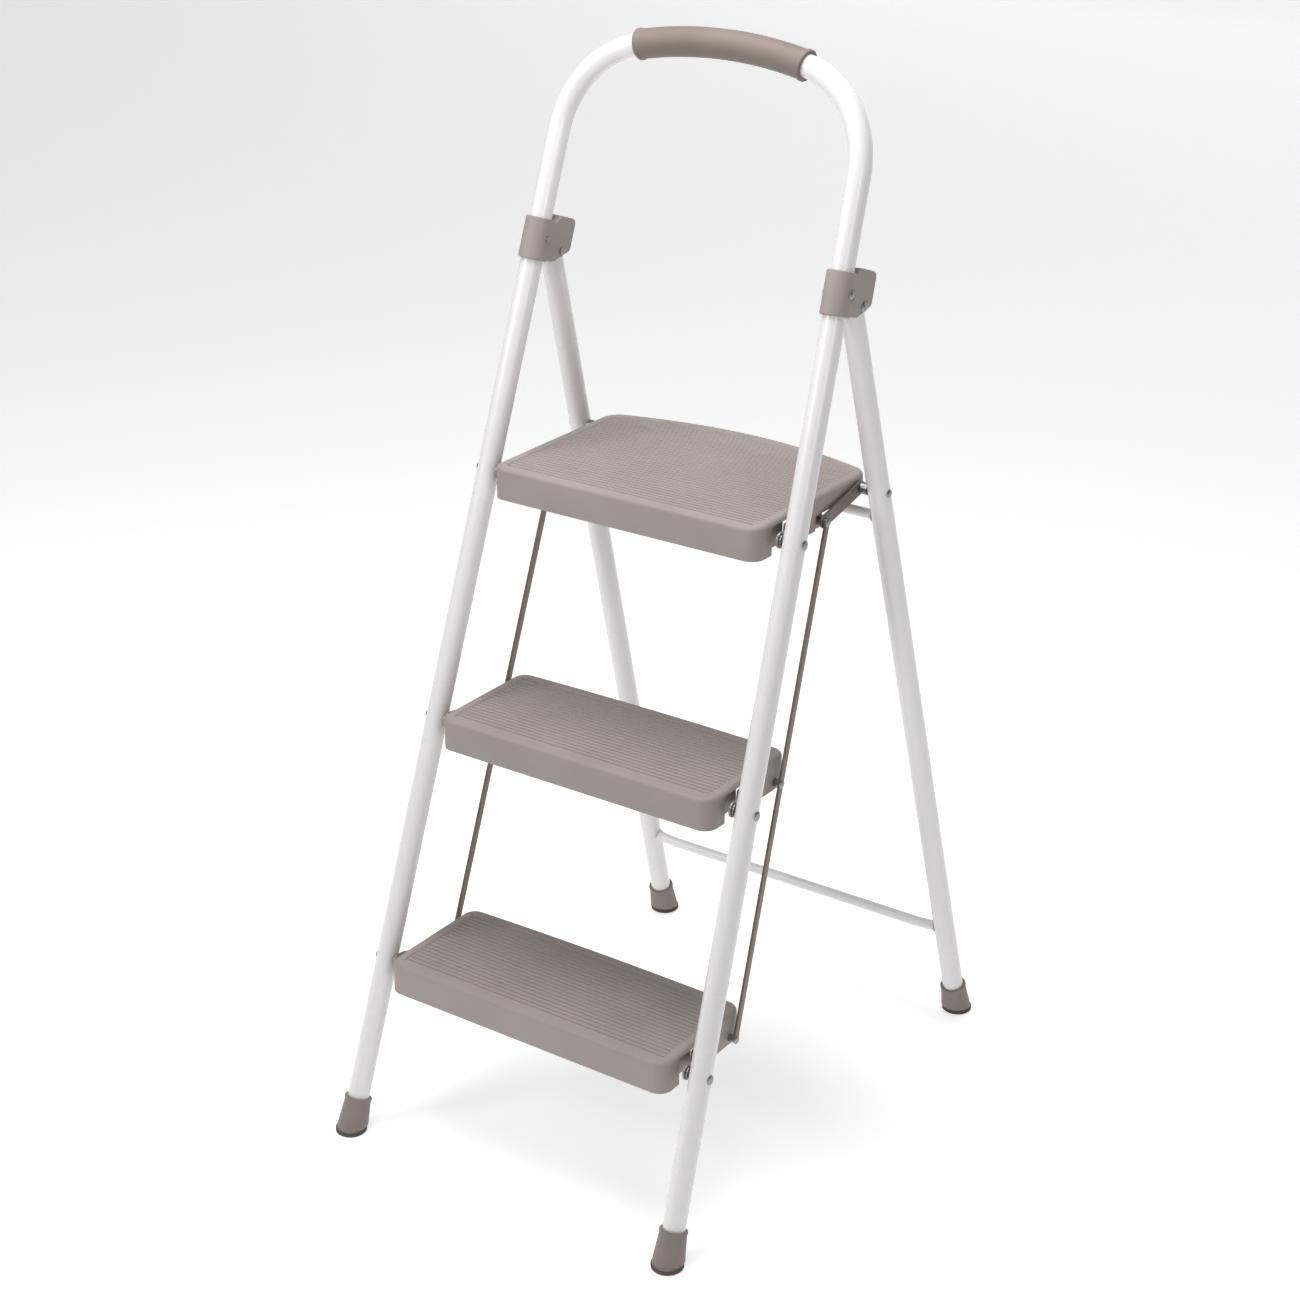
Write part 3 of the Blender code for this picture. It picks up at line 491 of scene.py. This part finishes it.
SLEEVE = 0.0142
SLEEVE_BELOW = 0.0135
SLEEVE_ABOVE = 0.0277
HOUSING_ABOVE = 0.0335
HOUSING_CORNER = 0.006
HOUSING_EDGE = 0.0018
CHAMFER_AHEAD = 0.009
CHAMFER_ABOVE = 0.002
SLEEVE_LIP = 0.0015
CHEEK_WALL = 0.0025
SLOT = 0.0117
REAR_WALL_START = 0.0045
COUNTERBORE = 0.0058
COUNTERBORE_DEPTH = 0.0007
SLOT_CORNER = 0.003
RAIL_FIT = 0.0002
HOUSING_SHY = 0.0001
CUTTER_REACH = 0.01
CHAMFER_ROUND = 0.004
HEEL_ROUND = 0.003
STEP_ROUND = 0.002
NECK_ROUND = 0.001
LOWER_LIP = 0.0014
LOWER_LIP_MIDDLE = 0.0005
UPPER_LIP = 0.0012
UPPER_LIP_MIDDLE = 0.0004
hinge_offset = (hinge_axis - rail_at(0, 0)).dot(behind_rail)


def bracket_axes(side):
    """Local axes on a hinge pin: behind the rail, up it and across it."""
    up = (rail_at(side, 1) - rail_at(side, 0)).normalized()
    behind = up.cross(X).normalized()
    across = behind.cross(up)
    level = (hinge_axis - behind_rail * hinge_offset).z
    pin = rail_at(side, level) + behind_rail * hinge_offset
    return Matrix.Translation(pin) @ Matrix((behind, up, across)).transposed().to_4x4()


def rounded(shape, geometry, radius, segments, affect="EDGES"):
    return bmesh.ops.bevel(
        shape,
        geom=geometry,
        offset=radius,
        segments=segments,
        profile=0.5,
        affect=affect,
        material=-1,
    )


def outline_block(corners, half, edge=0.0, segments=3):
    """A block of an outline in local XY from (x, y, corner radius), with its rims rounded."""
    shape = bmesh.new()
    low = [shape.verts.new((x, y, -half)) for x, y, _ in corners]
    shape.faces.new(low)
    for vert, (_, _, radius) in zip(low, corners):
        if radius:
            rounded(shape, [vert], radius, 8, "VERTICES")
    raised = bmesh.ops.extrude_face_region(shape, geom=list(shape.faces))["geom"]
    bmesh.ops.translate(shape, verts=new_parts(raised, bmesh.types.BMVert), vec=(0, 0, 2 * half))
    if edge:
        rims = [e for e in shape.edges if abs(e.verts[0].co.z - e.verts[1].co.z) < half]
        rounded(shape, rims, edge, segments)
    bmesh.ops.recalc_face_normals(shape, faces=shape.faces)
    return shape


def carved(shape, place, cuts):
    """The mesh of a shape after solids are joined to it or cut from it, one after another."""
    mesh = bpy.data.meshes.new("block")
    shape.to_mesh(mesh)
    shape.free()
    mesh.transform(place)
    block = bpy.data.objects.new("block", mesh)
    bpy.context.scene.collection.objects.link(block)
    tools = []
    for operation, other in cuts:
        bmesh.ops.recalc_face_normals(other, faces=other.faces)
        other_mesh = bpy.data.meshes.new("tool")
        other.to_mesh(other_mesh)
        other.free()
        tool = bpy.data.objects.new("tool", other_mesh)
        bpy.context.scene.collection.objects.link(tool)
        tools.append(tool)
        step = block.modifiers.new("step", "BOOLEAN")
        step.operation = operation
        step.object = tool
    bpy.context.view_layer.update()
    graph = bpy.context.evaluated_depsgraph_get()
    made = bpy.data.meshes.new_from_object(block.evaluated_get(graph))
    for scrap in [block, *tools]:
        bpy.data.objects.remove(scrap)
    return made


def moved(shape, place):
    """The same shape after a matrix."""
    bmesh.ops.transform(shape, matrix=place, verts=shape.verts)
    return shape


def hinge_bracket(word, side):
    """The box and the sleeve are joined, then bored for the rail, slotted for the leg and
    counterbored for both rivets."""
    place = bracket_axes(side)
    back = SLOT + CHEEK_WALL
    box = [
        (-hinge_offset, SLEEVE_LIP - SLEEVE_BELOW, 0),
        (-CHAMFER_AHEAD, SLEEVE_LIP - SLEEVE_BELOW, CHAMFER_ROUND),
        (back, CHAMFER_ABOVE, HEEL_ROUND),
        (back, HOUSING_ABOVE, HOUSING_CORNER),
        (-SLOT, HOUSING_ABOVE, STEP_ROUND),
        (-SLOT - HOUSING_CORNER, SLEEVE_ABOVE - SLEEVE_LIP, NECK_ROUND),
        (-hinge_offset, SLEEVE_ABOVE - SLEEVE_LIP, 0),
    ]
    block = outline_block(box, SLEEVE - HOUSING_SHY, HOUSING_EDGE, 4)
    sleeve = bmesh.new()
    rail = place @ Vector((-hinge_offset, 0, 0))
    up = place.to_3x3() @ Vector((0, 1, 0))
    rings = [
        (-SLEEVE_BELOW, SLEEVE - LOWER_LIP),
        (LOWER_LIP_MIDDLE - SLEEVE_BELOW, SLEEVE - LOWER_LIP_MIDDLE),
        (LOWER_LIP - SLEEVE_BELOW, SLEEVE),
        (SLEEVE_ABOVE - UPPER_LIP, SLEEVE),
        (SLEEVE_ABOVE - UPPER_LIP_MIDDLE, SLEEVE - UPPER_LIP_MIDDLE),
        (SLEEVE_ABOVE, SLEEVE - UPPER_LIP),
    ]
    loft(sleeve, [facing(rail + up * level, up, radius) for level, radius in rings], 64)
    bore = bmesh.new()
    reach = SLEEVE_ABOVE * 2
    loft(bore, [facing(rail + up * level, up, TUBE + RAIL_FIT) for level in (-reach, reach)])
    far = HOUSING_ABOVE * 2
    slot_outline = [
        (-SLOT, -far, 0),
        (far, -far, 0),
        (far, REAR_WALL_START, 0),
        (SLOT, REAR_WALL_START, 0),
        (SLOT, HOUSING_ABOVE - CHEEK_WALL, SLOT_CORNER),
        (-SLOT, HOUSING_ABOVE - CHEEK_WALL, SLOT_CORNER),
    ]
    slot = moved(outline_block(slot_outline, SLOT), place)
    steps = [("UNION", sleeve), ("DIFFERENCE", bore), ("DIFFERENCE", slot)]
    for rivet in ("hinge_rivet", "bracket_rivet"):
        low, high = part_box(f"{rivet}_{word}")
        middle = (low + high) / 2
        face = place.translation.x + side * (SLEEVE - COUNTERBORE_DEPTH)
        pocket = bmesh.new()
        start = Vector((face, middle.y, middle.z))
        ends = [start, start + X * side * CUTTER_REACH]
        loft(pocket, [facing(end, X * side, COUNTERBORE) for end in ends], 40)
        steps.append(("DIFFERENCE", pocket))
    mesh = carved(block, place, steps)
    node = f"hinge_bracket_{word}"
    settled(f"bracket_{word}", mesh, tread_plastic, "front_frame", [node], 35)


tread_plastic = soft_plastic("tread_plastic", (0.300, 0.255, 0.240), (0.350, 0.302, 0.284))
for word, side in SIDES:
    hinge_bracket(word, side)

# ---------------------------------------------------------------- rear legs and cross bars
# Two straight tubes that hang on the hinge rivets, joined near the floor by a thin bar with its
# ends bent up, and under the platform by a straight bar. The bars are welded on before coating.

BAR = 0.0055
SUPPORT_BAR = 0.005
BAR_BEND = 0.028
WELD_FLARE = 0.0017
LEG_END_STEPS = 6
BEND_REACH = 0.012


def rear_leg(word, side):
    """A straight tube with a ball end at its hinge."""
    shape = bmesh.new()
    along = (leg_at(side, hinge_axis.z) - leg_at(side, 0)).normalized()
    start = leg_at(side, IN_CAP)
    pin = leg_at(side, hinge_axis.z)
    stations = [(start, TUBE)]
    for step in range(LEG_END_STEPS):
        angle = math.pi / 2 * step / LEG_END_STEPS
        stations.append((pin + along * TUBE * math.sin(angle), TUBE * math.cos(angle)))
    loft(shape, [facing(centre, along, radius) for centre, radius in stations])
    node = f"rear_leg_{word}"
    finished(f"leg_tube_{word}", shape, white_coat, "rear_frame", [node])


def cross_bar(name, node, path, radius):
    """A round bar along a path between the legs' axes, flared by its weld at both ends."""
    shape = bmesh.new()
    stations = []
    for index, point in enumerate(path):
        before = path[max(index - 1, 0)]
        after = path[min(index + 1, len(path) - 1)]
        stations.append((point, (after - before).normalized(), radius))
    start = (path[1] - path[0]).normalized()
    stop = (path[-1] - path[-2]).normalized()
    welds = [(TUBE * 0.97, WELD_FLARE), (TUBE * 1.06, WELD_FLARE * 0.45), (TUBE * 1.2, 0)]
    head = [(path[0] + start * reach, start, radius + extra) for reach, extra in welds]
    tail = [(path[-1] - stop * reach, stop, radius + extra) for reach, extra in reversed(welds)]
    stations = head + stations[1:-1] + tail
    loft(shape, [facing(point, heading, size) for point, heading, size in stations], 32)
    finished(name, shape, white_coat, "rear_frame", [node], 40)


def rounded_bend(first, corner, last, reach, steps=6):
    """Points that cut a corner with an even curve."""
    start = corner + (first - corner).normalized() * reach
    end = corner + (last - corner).normalized() * reach
    points = []
    for step in range(steps + 1):
        t = step / steps
        points.append(start.lerp(corner, t).lerp(corner.lerp(end, t), t))
    return points


for word, side in SIDES:
    rear_leg(word, side)
low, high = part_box("rear_cross_bar")
bar_height = low.z + BAR
bend_x = leg_at(1, bar_height).x - BAR_BEND
bar_y = leg_at(1, bar_height).y
left_end = leg_at(-1, high.z - BAR)
right_end = leg_at(1, high.z - BAR)
left_bend = Vector((-bend_x, bar_y, bar_height))
right_bend = Vector((bend_x, bar_y, bar_height))
path = [left_end]
path += rounded_bend(left_end, left_bend, right_bend, BEND_REACH)
path += rounded_bend(left_bend, right_bend, right_end, BEND_REACH)
path += [right_end]
cross_bar("floor_bar", "rear_cross_bar", path, BAR)
low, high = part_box("platform_support_bar")
bar_height = (low.z + high.z) / 2
left_end = leg_at(-1, bar_height)
right_end = leg_at(1, bar_height)
path = [left_end, (left_end + right_end) / 2, right_end]
cross_bar("support_bar", "platform_support_bar", path, SUPPORT_BAR)

# ---------------------------------------------------------------- treads
# Three injection moulded shells. Each has a raised rim round a grooved top, a deep skirt with a
# slot at each side for its bracket, and ribs below. The platform's skirt is shallow at the rear.

SKIRT = 0.033
SHORT_SKIRT = 0.018
SKIRT_PIN_GAP = 0.010
TREAD_WALL = 0.0026
TREAD_CORNER = 0.014
TREAD_EDGE = 0.0042
RIM = 0.0058
RIM_STEP = 0.0012
GROOVE_PITCH = 0.0058
GROOVE_WIDTH = 0.0024
GROOVE_DEPTH = 0.0011
NOTCH_AHEAD = 0.0005
NOTCH_BEHIND = 0.031
NOTCH_TOP = 0.005
RIB_HEIGHT = 0.014
RIB_WALL = 0.002
RIB_INSET = 0.0106
REAR_CUTS = 31
TREAD_CORNER_STEPS = 10
TREAD_EDGE_STEPS = 5
LEVEL_WITHIN = 0.00001
GROOVE_WITHIN = 0.0001
BOWS = {"bottom": 0.003, "middle": 0.003, "platform": 0.027}


def split_at(shape, point, normal):
    """Cuts every face of a shape along a plane."""
    geometry = list(shape.verts) + list(shape.edges) + list(shape.faces)
    bmesh.ops.bisect_plane(shape, geom=geometry, plane_co=point, plane_no=normal, dist=0.000001)


def tread(level, word):
    """A plate is rounded, rimmed and grooved, and its edge is extruded down into the skirt."""
    low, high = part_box(f"{word}_tread")
    bow = BOWS[word]
    half = high.x
    depth = high.y - low.y - bow
    pivot = pivots[level]
    shape = bmesh.new()
    middle = Vector((0, low.y + depth / 2, high.z))
    size = Matrix.Translation(middle) @ Matrix.Diagonal((half, depth / 2, 1, 1))
    bmesh.ops.create_grid(shape, x_segments=1, y_segments=1, size=1, matrix=size)
    rounded(shape, list(shape.verts), TREAD_CORNER, TREAD_CORNER_STEPS, "VERTICES")
    rear = max(shape.edges, key=lambda edge: min(vert.co.y for vert in edge.verts))
    bmesh.ops.subdivide_edges(shape, edges=[rear], cuts=REAR_CUTS)
    for vert in shape.verts:
        if vert.co.y > middle.y:
            vert.co.y += bow * (1 - (vert.co.x / half) ** 2)
    points, ring = grow(shape, list(shape.edges))
    bmesh.ops.translate(shape, verts=points, vec=(0, 0, -SKIRT))
    top_rim = [e for e in shape.edges if all(v.co.z > high.z - 0.0001 for v in e.verts)]
    rounded(shape, top_rim, TREAD_EDGE, TREAD_EDGE_STEPS)
    top = max(shape.faces, key=lambda face: face.calc_area())
    bmesh.ops.inset_region(shape, faces=[top], thickness=RIM)
    bmesh.ops.inset_region(shape, faces=[top], thickness=RIM_STEP, depth=-RIM_STEP)
    inner_front = min(vert.co.y for vert in top.verts)
    inner_rear = max(vert.co.y for vert in top.verts)
    count = int((inner_rear - inner_front) / GROOVE_PITCH)
    first = (inner_front + inner_rear - count * GROOVE_PITCH) / 2
    panel_height = top.verts[0].co.z
    lines = []
    for index in range(count):
        middle = first + GROOVE_PITCH * (index + 0.5)
        lines += [middle - GROOVE_WIDTH / 2, middle + GROOVE_WIDTH / 2]
    for line in lines:
        panel = [
            face
            for face in shape.faces
            if abs(face.calc_center_median().z - panel_height) < LEVEL_WITHIN
        ]
        edges = {edge for face in panel for edge in face.edges}
        verts = {vert for face in panel for vert in face.verts}
        bmesh.ops.bisect_plane(
            shape,
            geom=list(verts) + list(edges) + panel,
            plane_co=(0, line, 0),
            plane_no=(0, 1, 0),
            dist=0.0000001,
        )
    grooves = []
    for face in shape.faces:
        centre = face.calc_center_bounds()
        across = (centre.y - first) % GROOVE_PITCH
        in_groove = abs(across - GROOVE_PITCH / 2) < GROOVE_WITHIN
        if abs(centre.z - panel_height) < LEVEL_WITHIN and in_groove:
            grooves.append(face)
    grooves = [face for face in grooves if face.calc_area() > GROOVE_WIDTH * half * 0.5]
    bmesh.ops.inset_individual(
        shape, faces=grooves, thickness=GROOVE_WIDTH * 0.3, depth=-GROOVE_DEPTH
    )
    notch = (pivot.y - NOTCH_AHEAD, pivot.y + NOTCH_BEHIND)
    for line in notch:
        split_at(shape, (0, line, 0), (0, 1, 0))
    split_at(shape, (0, 0, high.z - NOTCH_TOP), (0, 0, 1))
    pin = joint_place["tie_rods_fold"].y - pivots[2].y
    short = pivot.y + pin - SKIRT_PIN_GAP if word == "platform" else high.y + 1
    if word == "platform":
        split_at(shape, (0, short, 0), (0, 1, 0))
        split_at(shape, (0, 0, high.z - SHORT_SKIRT), (0, 0, 1))
    gone = []
    for face in shape.faces:
        centre = face.calc_center_median()
        in_notch = abs(centre.x) > half - 0.001 and notch[0] < centre.y < notch[1]
        in_rear = centre.y > short and centre.z < high.z - SHORT_SKIRT
        if in_rear or (in_notch and centre.z < high.z - NOTCH_TOP):
            gone.append(face)
    bmesh.ops.delete(shape, geom=gone, context="FACES")
    bmesh.ops.remove_doubles(shape, verts=shape.verts, dist=0.000001)
    bmesh.ops.recalc_face_normals(shape, faces=shape.faces)
    bmesh.ops.solidify(shape, geom=list(shape.faces), thickness=TREAD_WALL)
    under_ribs(shape, low, high, depth, pivot)
    finished(
        f"{word}_board",
        shape,
        tread_plastic,
        BODY_OF_LEVEL[word],
        [f"{word}_tread"],
        28,
    )


def under_ribs(shape, low, high, depth, pivot):
    """A lattice of thin ribs under the top, and a deep wall behind each slot."""
    reach = high.x - RIB_INSET
    rows = [low.y + depth * (row + 1) / 4 for row in range(3)]
    columns = [reach * ((column + 1) / 3 - 1) for column in range(5)]
    middle = high.z - (RIB_HEIGHT + TREAD_WALL) / 2
    tall = RIB_HEIGHT - TREAD_WALL / 2
    for y in rows:
        size = Matrix.Diagonal((2 * reach, RIB_WALL, tall, 1))
        place = Matrix.Translation((0, y, middle))
        bmesh.ops.create_cube(shape, size=1, matrix=place @ size)
    for x in columns:
        size = Matrix.Diagonal((RIB_WALL, rows[-1] - rows[0], tall, 1))
        place = Matrix.Translation((x, (rows[0] + rows[-1]) / 2, middle))
        bmesh.ops.create_cube(shape, size=1, matrix=place @ size)
    front = low.y + TREAD_WALL / 2
    rear = pivot.y + NOTCH_BEHIND + RIB_WALL
    for x in (-reach, reach):
        size = Matrix.Diagonal((RIB_WALL, rear - front, SKIRT - TREAD_WALL, 1))
        place = Matrix.Translation((x, (front + rear) / 2, high.z - (SKIRT + TREAD_WALL / 2) / 2))
        bmesh.ops.create_cube(shape, size=1, matrix=place @ size)


BODY_OF_LEVEL = {"bottom": "bottom_step", "middle": "middle_step", "platform": "platform"}
for level, word in enumerate(LEVELS):
    tread(level, word)

# ---------------------------------------------------------------- tread brackets
# A painted steel strap riveted inside each end of a tread. Its front is cranked out through the
# slot to an ear that turns on the rivet through the rail.

EAR = 0.008
STRAP = 0.002
STRAP_EDGE = 0.00035
CRANK_START = 0.009
CRANK_END = 0.026
CRANK_BEND = 0.003


def stoved_paint(name, dark, light, rubbed):
    """Stoved paint on flat steel: low sheen, with brighter rubbed flecks."""
    paint = Finish(name, {"Coat Weight": 0.25, "Coat Roughness": 0.2, "Metallic": 0.35})
    flecks = paint.noise(700, 3).over(0.62, 0.75)
    cloud = paint.noise(60, 2)
    brown = paint.mix(cloud, dark, light)
    paint.wire("Base Color", paint.mix(flecks * 0.35, brown, rubbed))
    paint.wire("Roughness", 0.3 + cloud * 0.16)
    paint.bump(paint.noise(500, 3), 0.0001, 0.3)
    return paint.material


def tread_bracket(level, word, side_word, side):
    """A cranked line is extruded into a ribbon, its ends are rounded and it is given a wall."""
    low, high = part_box(f"{word}_bracket_{side_word}")
    ear_x, strap_x = sorted((abs(low.x), abs(high.x)), reverse=True)
    ear_x -= STRAP / 2
    strap_x += STRAP / 2
    pivot = pivots[level]
    to_pin = joint_place["tie_rods_fold"] - pivots[2]
    length = to_pin.length
    along = to_pin.normalized()
    place = Matrix((X, along, X.cross(along))).transposed().to_4x4()
    place = Matrix.Translation(pivot) @ place
    shape = bmesh.new()
    line = [(ear_x, -EAR), (ear_x, CRANK_START), (strap_x, CRANK_END), (strap_x, length + EAR)]
    lower = [shape.verts.new((side * x, y, -EAR)) for x, y in line]
    edges = [shape.edges.new(pair) for pair in zip(lower, lower[1:])]
    points, _ = grow(shape, edges)
    bmesh.ops.translate(shape, verts=points, vec=(0, 0, 2 * EAR))
    ends = [vert for vert in shape.verts if len(vert.link_faces) == 1]
    rounded(shape, ends, EAR * 0.96, 10, "VERTICES")
    bends = [e for e in shape.edges if len(e.link_faces) == 2]
    rounded(shape, bends, CRANK_BEND, 5)
    bmesh.ops.recalc_face_normals(shape, faces=shape.faces)
    moved(shape, place)
    plate = bpy.data.meshes.new("strap")
    shape.to_mesh(plate)
    shape.free()
    strap = bpy.data.objects.new("strap", plate)
    bpy.context.scene.collection.objects.link(strap)
    wall = strap.modifiers.new("wall", "SOLIDIFY")
    wall.thickness = STRAP
    wall.offset = 0
    wall.use_even_offset = True
    rounding = strap.modifiers.new("rounding", "BEVEL")
    rounding.width = STRAP_EDGE
    rounding.segments = 2
    rounding.limit_method = "ANGLE"
    bpy.context.view_layer.update()
    graph = bpy.context.evaluated_depsgraph_get()
    mesh = bpy.data.meshes.new_from_object(strap.evaluated_get(graph))
    bpy.data.objects.remove(strap)
    settled(
        f"{word}_strap_{side_word}",
        mesh,
        strap_paint,
        BODY_OF_LEVEL[word],
        [f"{word}_bracket_{side_word}"],
    )


strap_paint = stoved_paint(
    "strap_paint", (0.26, 0.215, 0.195), (0.33, 0.28, 0.255), (0.46, 0.42, 0.39)
)
for level, word in enumerate(LEVELS):
    for side_word, side in SIDES:
        tread_bracket(level, word, side_word, side)

# ---------------------------------------------------------------- tie rods and stays
# Flat steel bars with round ends. The long pair keeps the treads parallel, and the short pair ties
# the platform to the rear legs so that the whole stool folds in one movement.

ROD_HALF = 0.0036
ROD_THICK = 0.0026
STAY_HALF = 0.0065
STAY_THICK = 0.0025
NEARLY_ALL = 0.98
FLAT_BAR_EDGE = 0.00045


def flat_bar(name, start, end, half, thick, across, body, replaced):
    """A flat bar with round ends, centred on two pins."""
    reach = (end - start).length + half
    outline = [(-half, -half, half * NEARLY_ALL), (reach, -half, half * NEARLY_ALL)]
    outline += [(reach, half, half * NEARLY_ALL), (-half, half, half * NEARLY_ALL)]
    along = (end - start).normalized()
    outward = along.cross(across).normalized()
    place = Matrix((along, across, outward)).transposed().to_4x4()
    shape = outline_block(outline, thick / 2, FLAT_BAR_EDGE, 2)
    moved(shape, Matrix.Translation(start) @ place)
    finished(name, shape, bar_brown, body, [replaced], 40)


bar_brown = stoved_paint(
    "bar_paint", (0.135, 0.105, 0.09), (0.185, 0.15, 0.13), (0.30, 0.27, 0.25)
)
rod_pin = joint_place["tie_rods_fold"]
to_pin = rod_pin - pivots[2]
for word, side in SIDES:
    low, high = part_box(f"tie_rod_{word}")
    outer = max(abs(low.x), abs(high.x)) - ROD_THICK / 2
    bottom = pivots[0] + to_pin
    top = Vector((side * (outer - SPLAY * (rod_pin.z - bottom.z)), rod_pin.y, rod_pin.z))
    bottom = Vector((side * outer, bottom.y, bottom.z))
    across = X.cross(top - bottom).normalized()
    flat_bar(
        f"rod_{word}", bottom, top, ROD_HALF, ROD_THICK, across, "tie_rods", f"tie_rod_{word}"
    )
    low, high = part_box(f"stay_{word}")
    x = (low.x + high.x) / 2
    near = Vector((x, rod_pin.y, rod_pin.z))
    boss_low, boss_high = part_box(f"stay_boss_{word}")
    far = (boss_low + boss_high) / 2
    far.x = x
    across = X.cross(far - near).normalized()
    flat_bar(
        f"stay_bar_{word}", near, far, STAY_HALF, STAY_THICK, across, "stays", f"stay_{word}"
    )

# ---------------------------------------------------------------- rivets, pins and washers
# Zinc plated steel fixings. Each head is a low dome that is set with a slight ring round its edge.


def zinc():
    plating = Finish("zinc_plating", {"Metallic": 1.0})
    turning = plating.noise(260, 4)
    stain = plating.noise(90, 2)
    plating.wire("Base Color", plating.mix(stain, (0.36, 0.36, 0.37), (0.25, 0.245, 0.24)))
    plating.wire("Roughness", 0.26 + turning * 0.2)
    plating.bump(turning, 0.00008, 0.4)
    return plating.material


def fixing(name, node, body, stations):
    """A turned piece on X through a CAD node's box, from stations of (distance in, radius)."""
    low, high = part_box(node)
    side = 1 if low.x + high.x > 0 else -1
    outer = high.x if side > 0 else low.x
    middle = (low + high) / 2
    shape = bmesh.new()
    places = []
    for inward, radius in stations:
        centre = Vector((outer - side * inward, middle.y, middle.z))
        places.append(facing(centre, X, radius))
    loft(shape, places, 28)
    finished(name, shape, zinc_plating, body, [node], 38)


def domed(head, height):
    """Stations over a low domed head, from its crown to its rim."""
    return [
        (0, head * 0.12),
        (height * 0.06, head * 0.38),
        (height * 0.2, head * 0.62),
        (height * 0.42, head * 0.82),
        (height * 0.7, head * 0.95),
        (height, head),
    ]


HEAD = 0.0016
RIM_ROUND = 0.0004
WASHER_ROUND = 0.0003
TAIL = 0.0011
TAIL_ROUND = 0.0005
TAIL_ROUND_DEPTH = 0.0003
HEAD_OVER_SHAFT = 0.002
PIN_OVER_SHAFT = 0.0006
zinc_plating = zinc()
fixings = []
for side_word, _ in SIDES:
    fixings += [
        (f"hinge_rivet_{side_word}", "front_frame"),
        (f"bracket_rivet_{side_word}", "front_frame"),
        (f"stay_boss_{side_word}", "rear_frame"),
    ]
    for word in LEVELS:
        fixings.append((f"{word}_pivot_rivet_{side_word}", "front_frame"))
        fixings.append((f"{word}_pivot_washer_{side_word}", "front_frame"))
        fixings.append((f"{word}_rod_pin_{side_word}", BODY_OF_LEVEL[word]))
for node, body in fixings:
    low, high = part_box(node)
    length = high.x - low.x
    head = (high.z - low.z) / 2
    if "washer" in node:
        rim = head - RIM_ROUND
        stations = [(0, rim), (WASHER_ROUND, head), (length - WASHER_ROUND, head), (length, rim)]
    elif "boss" in node:
        shaft = head * 0.4
        inner = 2 * TUBE + HEAD
        stations = domed(head * 0.73, HEAD) + [(HEAD, shaft), (inner, shaft), (inner, head)]
        stations += [(length - RIM_ROUND, head), (length, head - RIM_ROUND)]
    else:
        shaft = head - (PIN_OVER_SHAFT if "rod_pin" in node else HEAD_OVER_SHAFT)
        tail = head * 0.8
        stations = domed(head, HEAD) + [(HEAD, shaft), (length - TAIL, shaft)]
        stations += [(length - TAIL, tail), (length - TAIL_ROUND_DEPTH, tail)]
        stations += [(length, tail - TAIL_ROUND)]
    fixing(f"{node}_fixing", node, body, stations)
for side_word, _ in SIDES:
    for node, body in [(f"stay_rivet_{side_word}", "stays")] + [
        (f"{word}_screw_{side_word}", BODY_OF_LEVEL[word]) for word in LEVELS
    ]:
        low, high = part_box(node)
        length = high.x - low.x
        head = (high.z - low.z) / 2
        shaft = head * 0.55
        stations = [(0, shaft), (length - HEAD, shaft)]
        stations += [(length - inward, radius) for inward, radius in reversed(domed(head, HEAD))]
        fixing(f"{node}_fixing", node, body, stations)
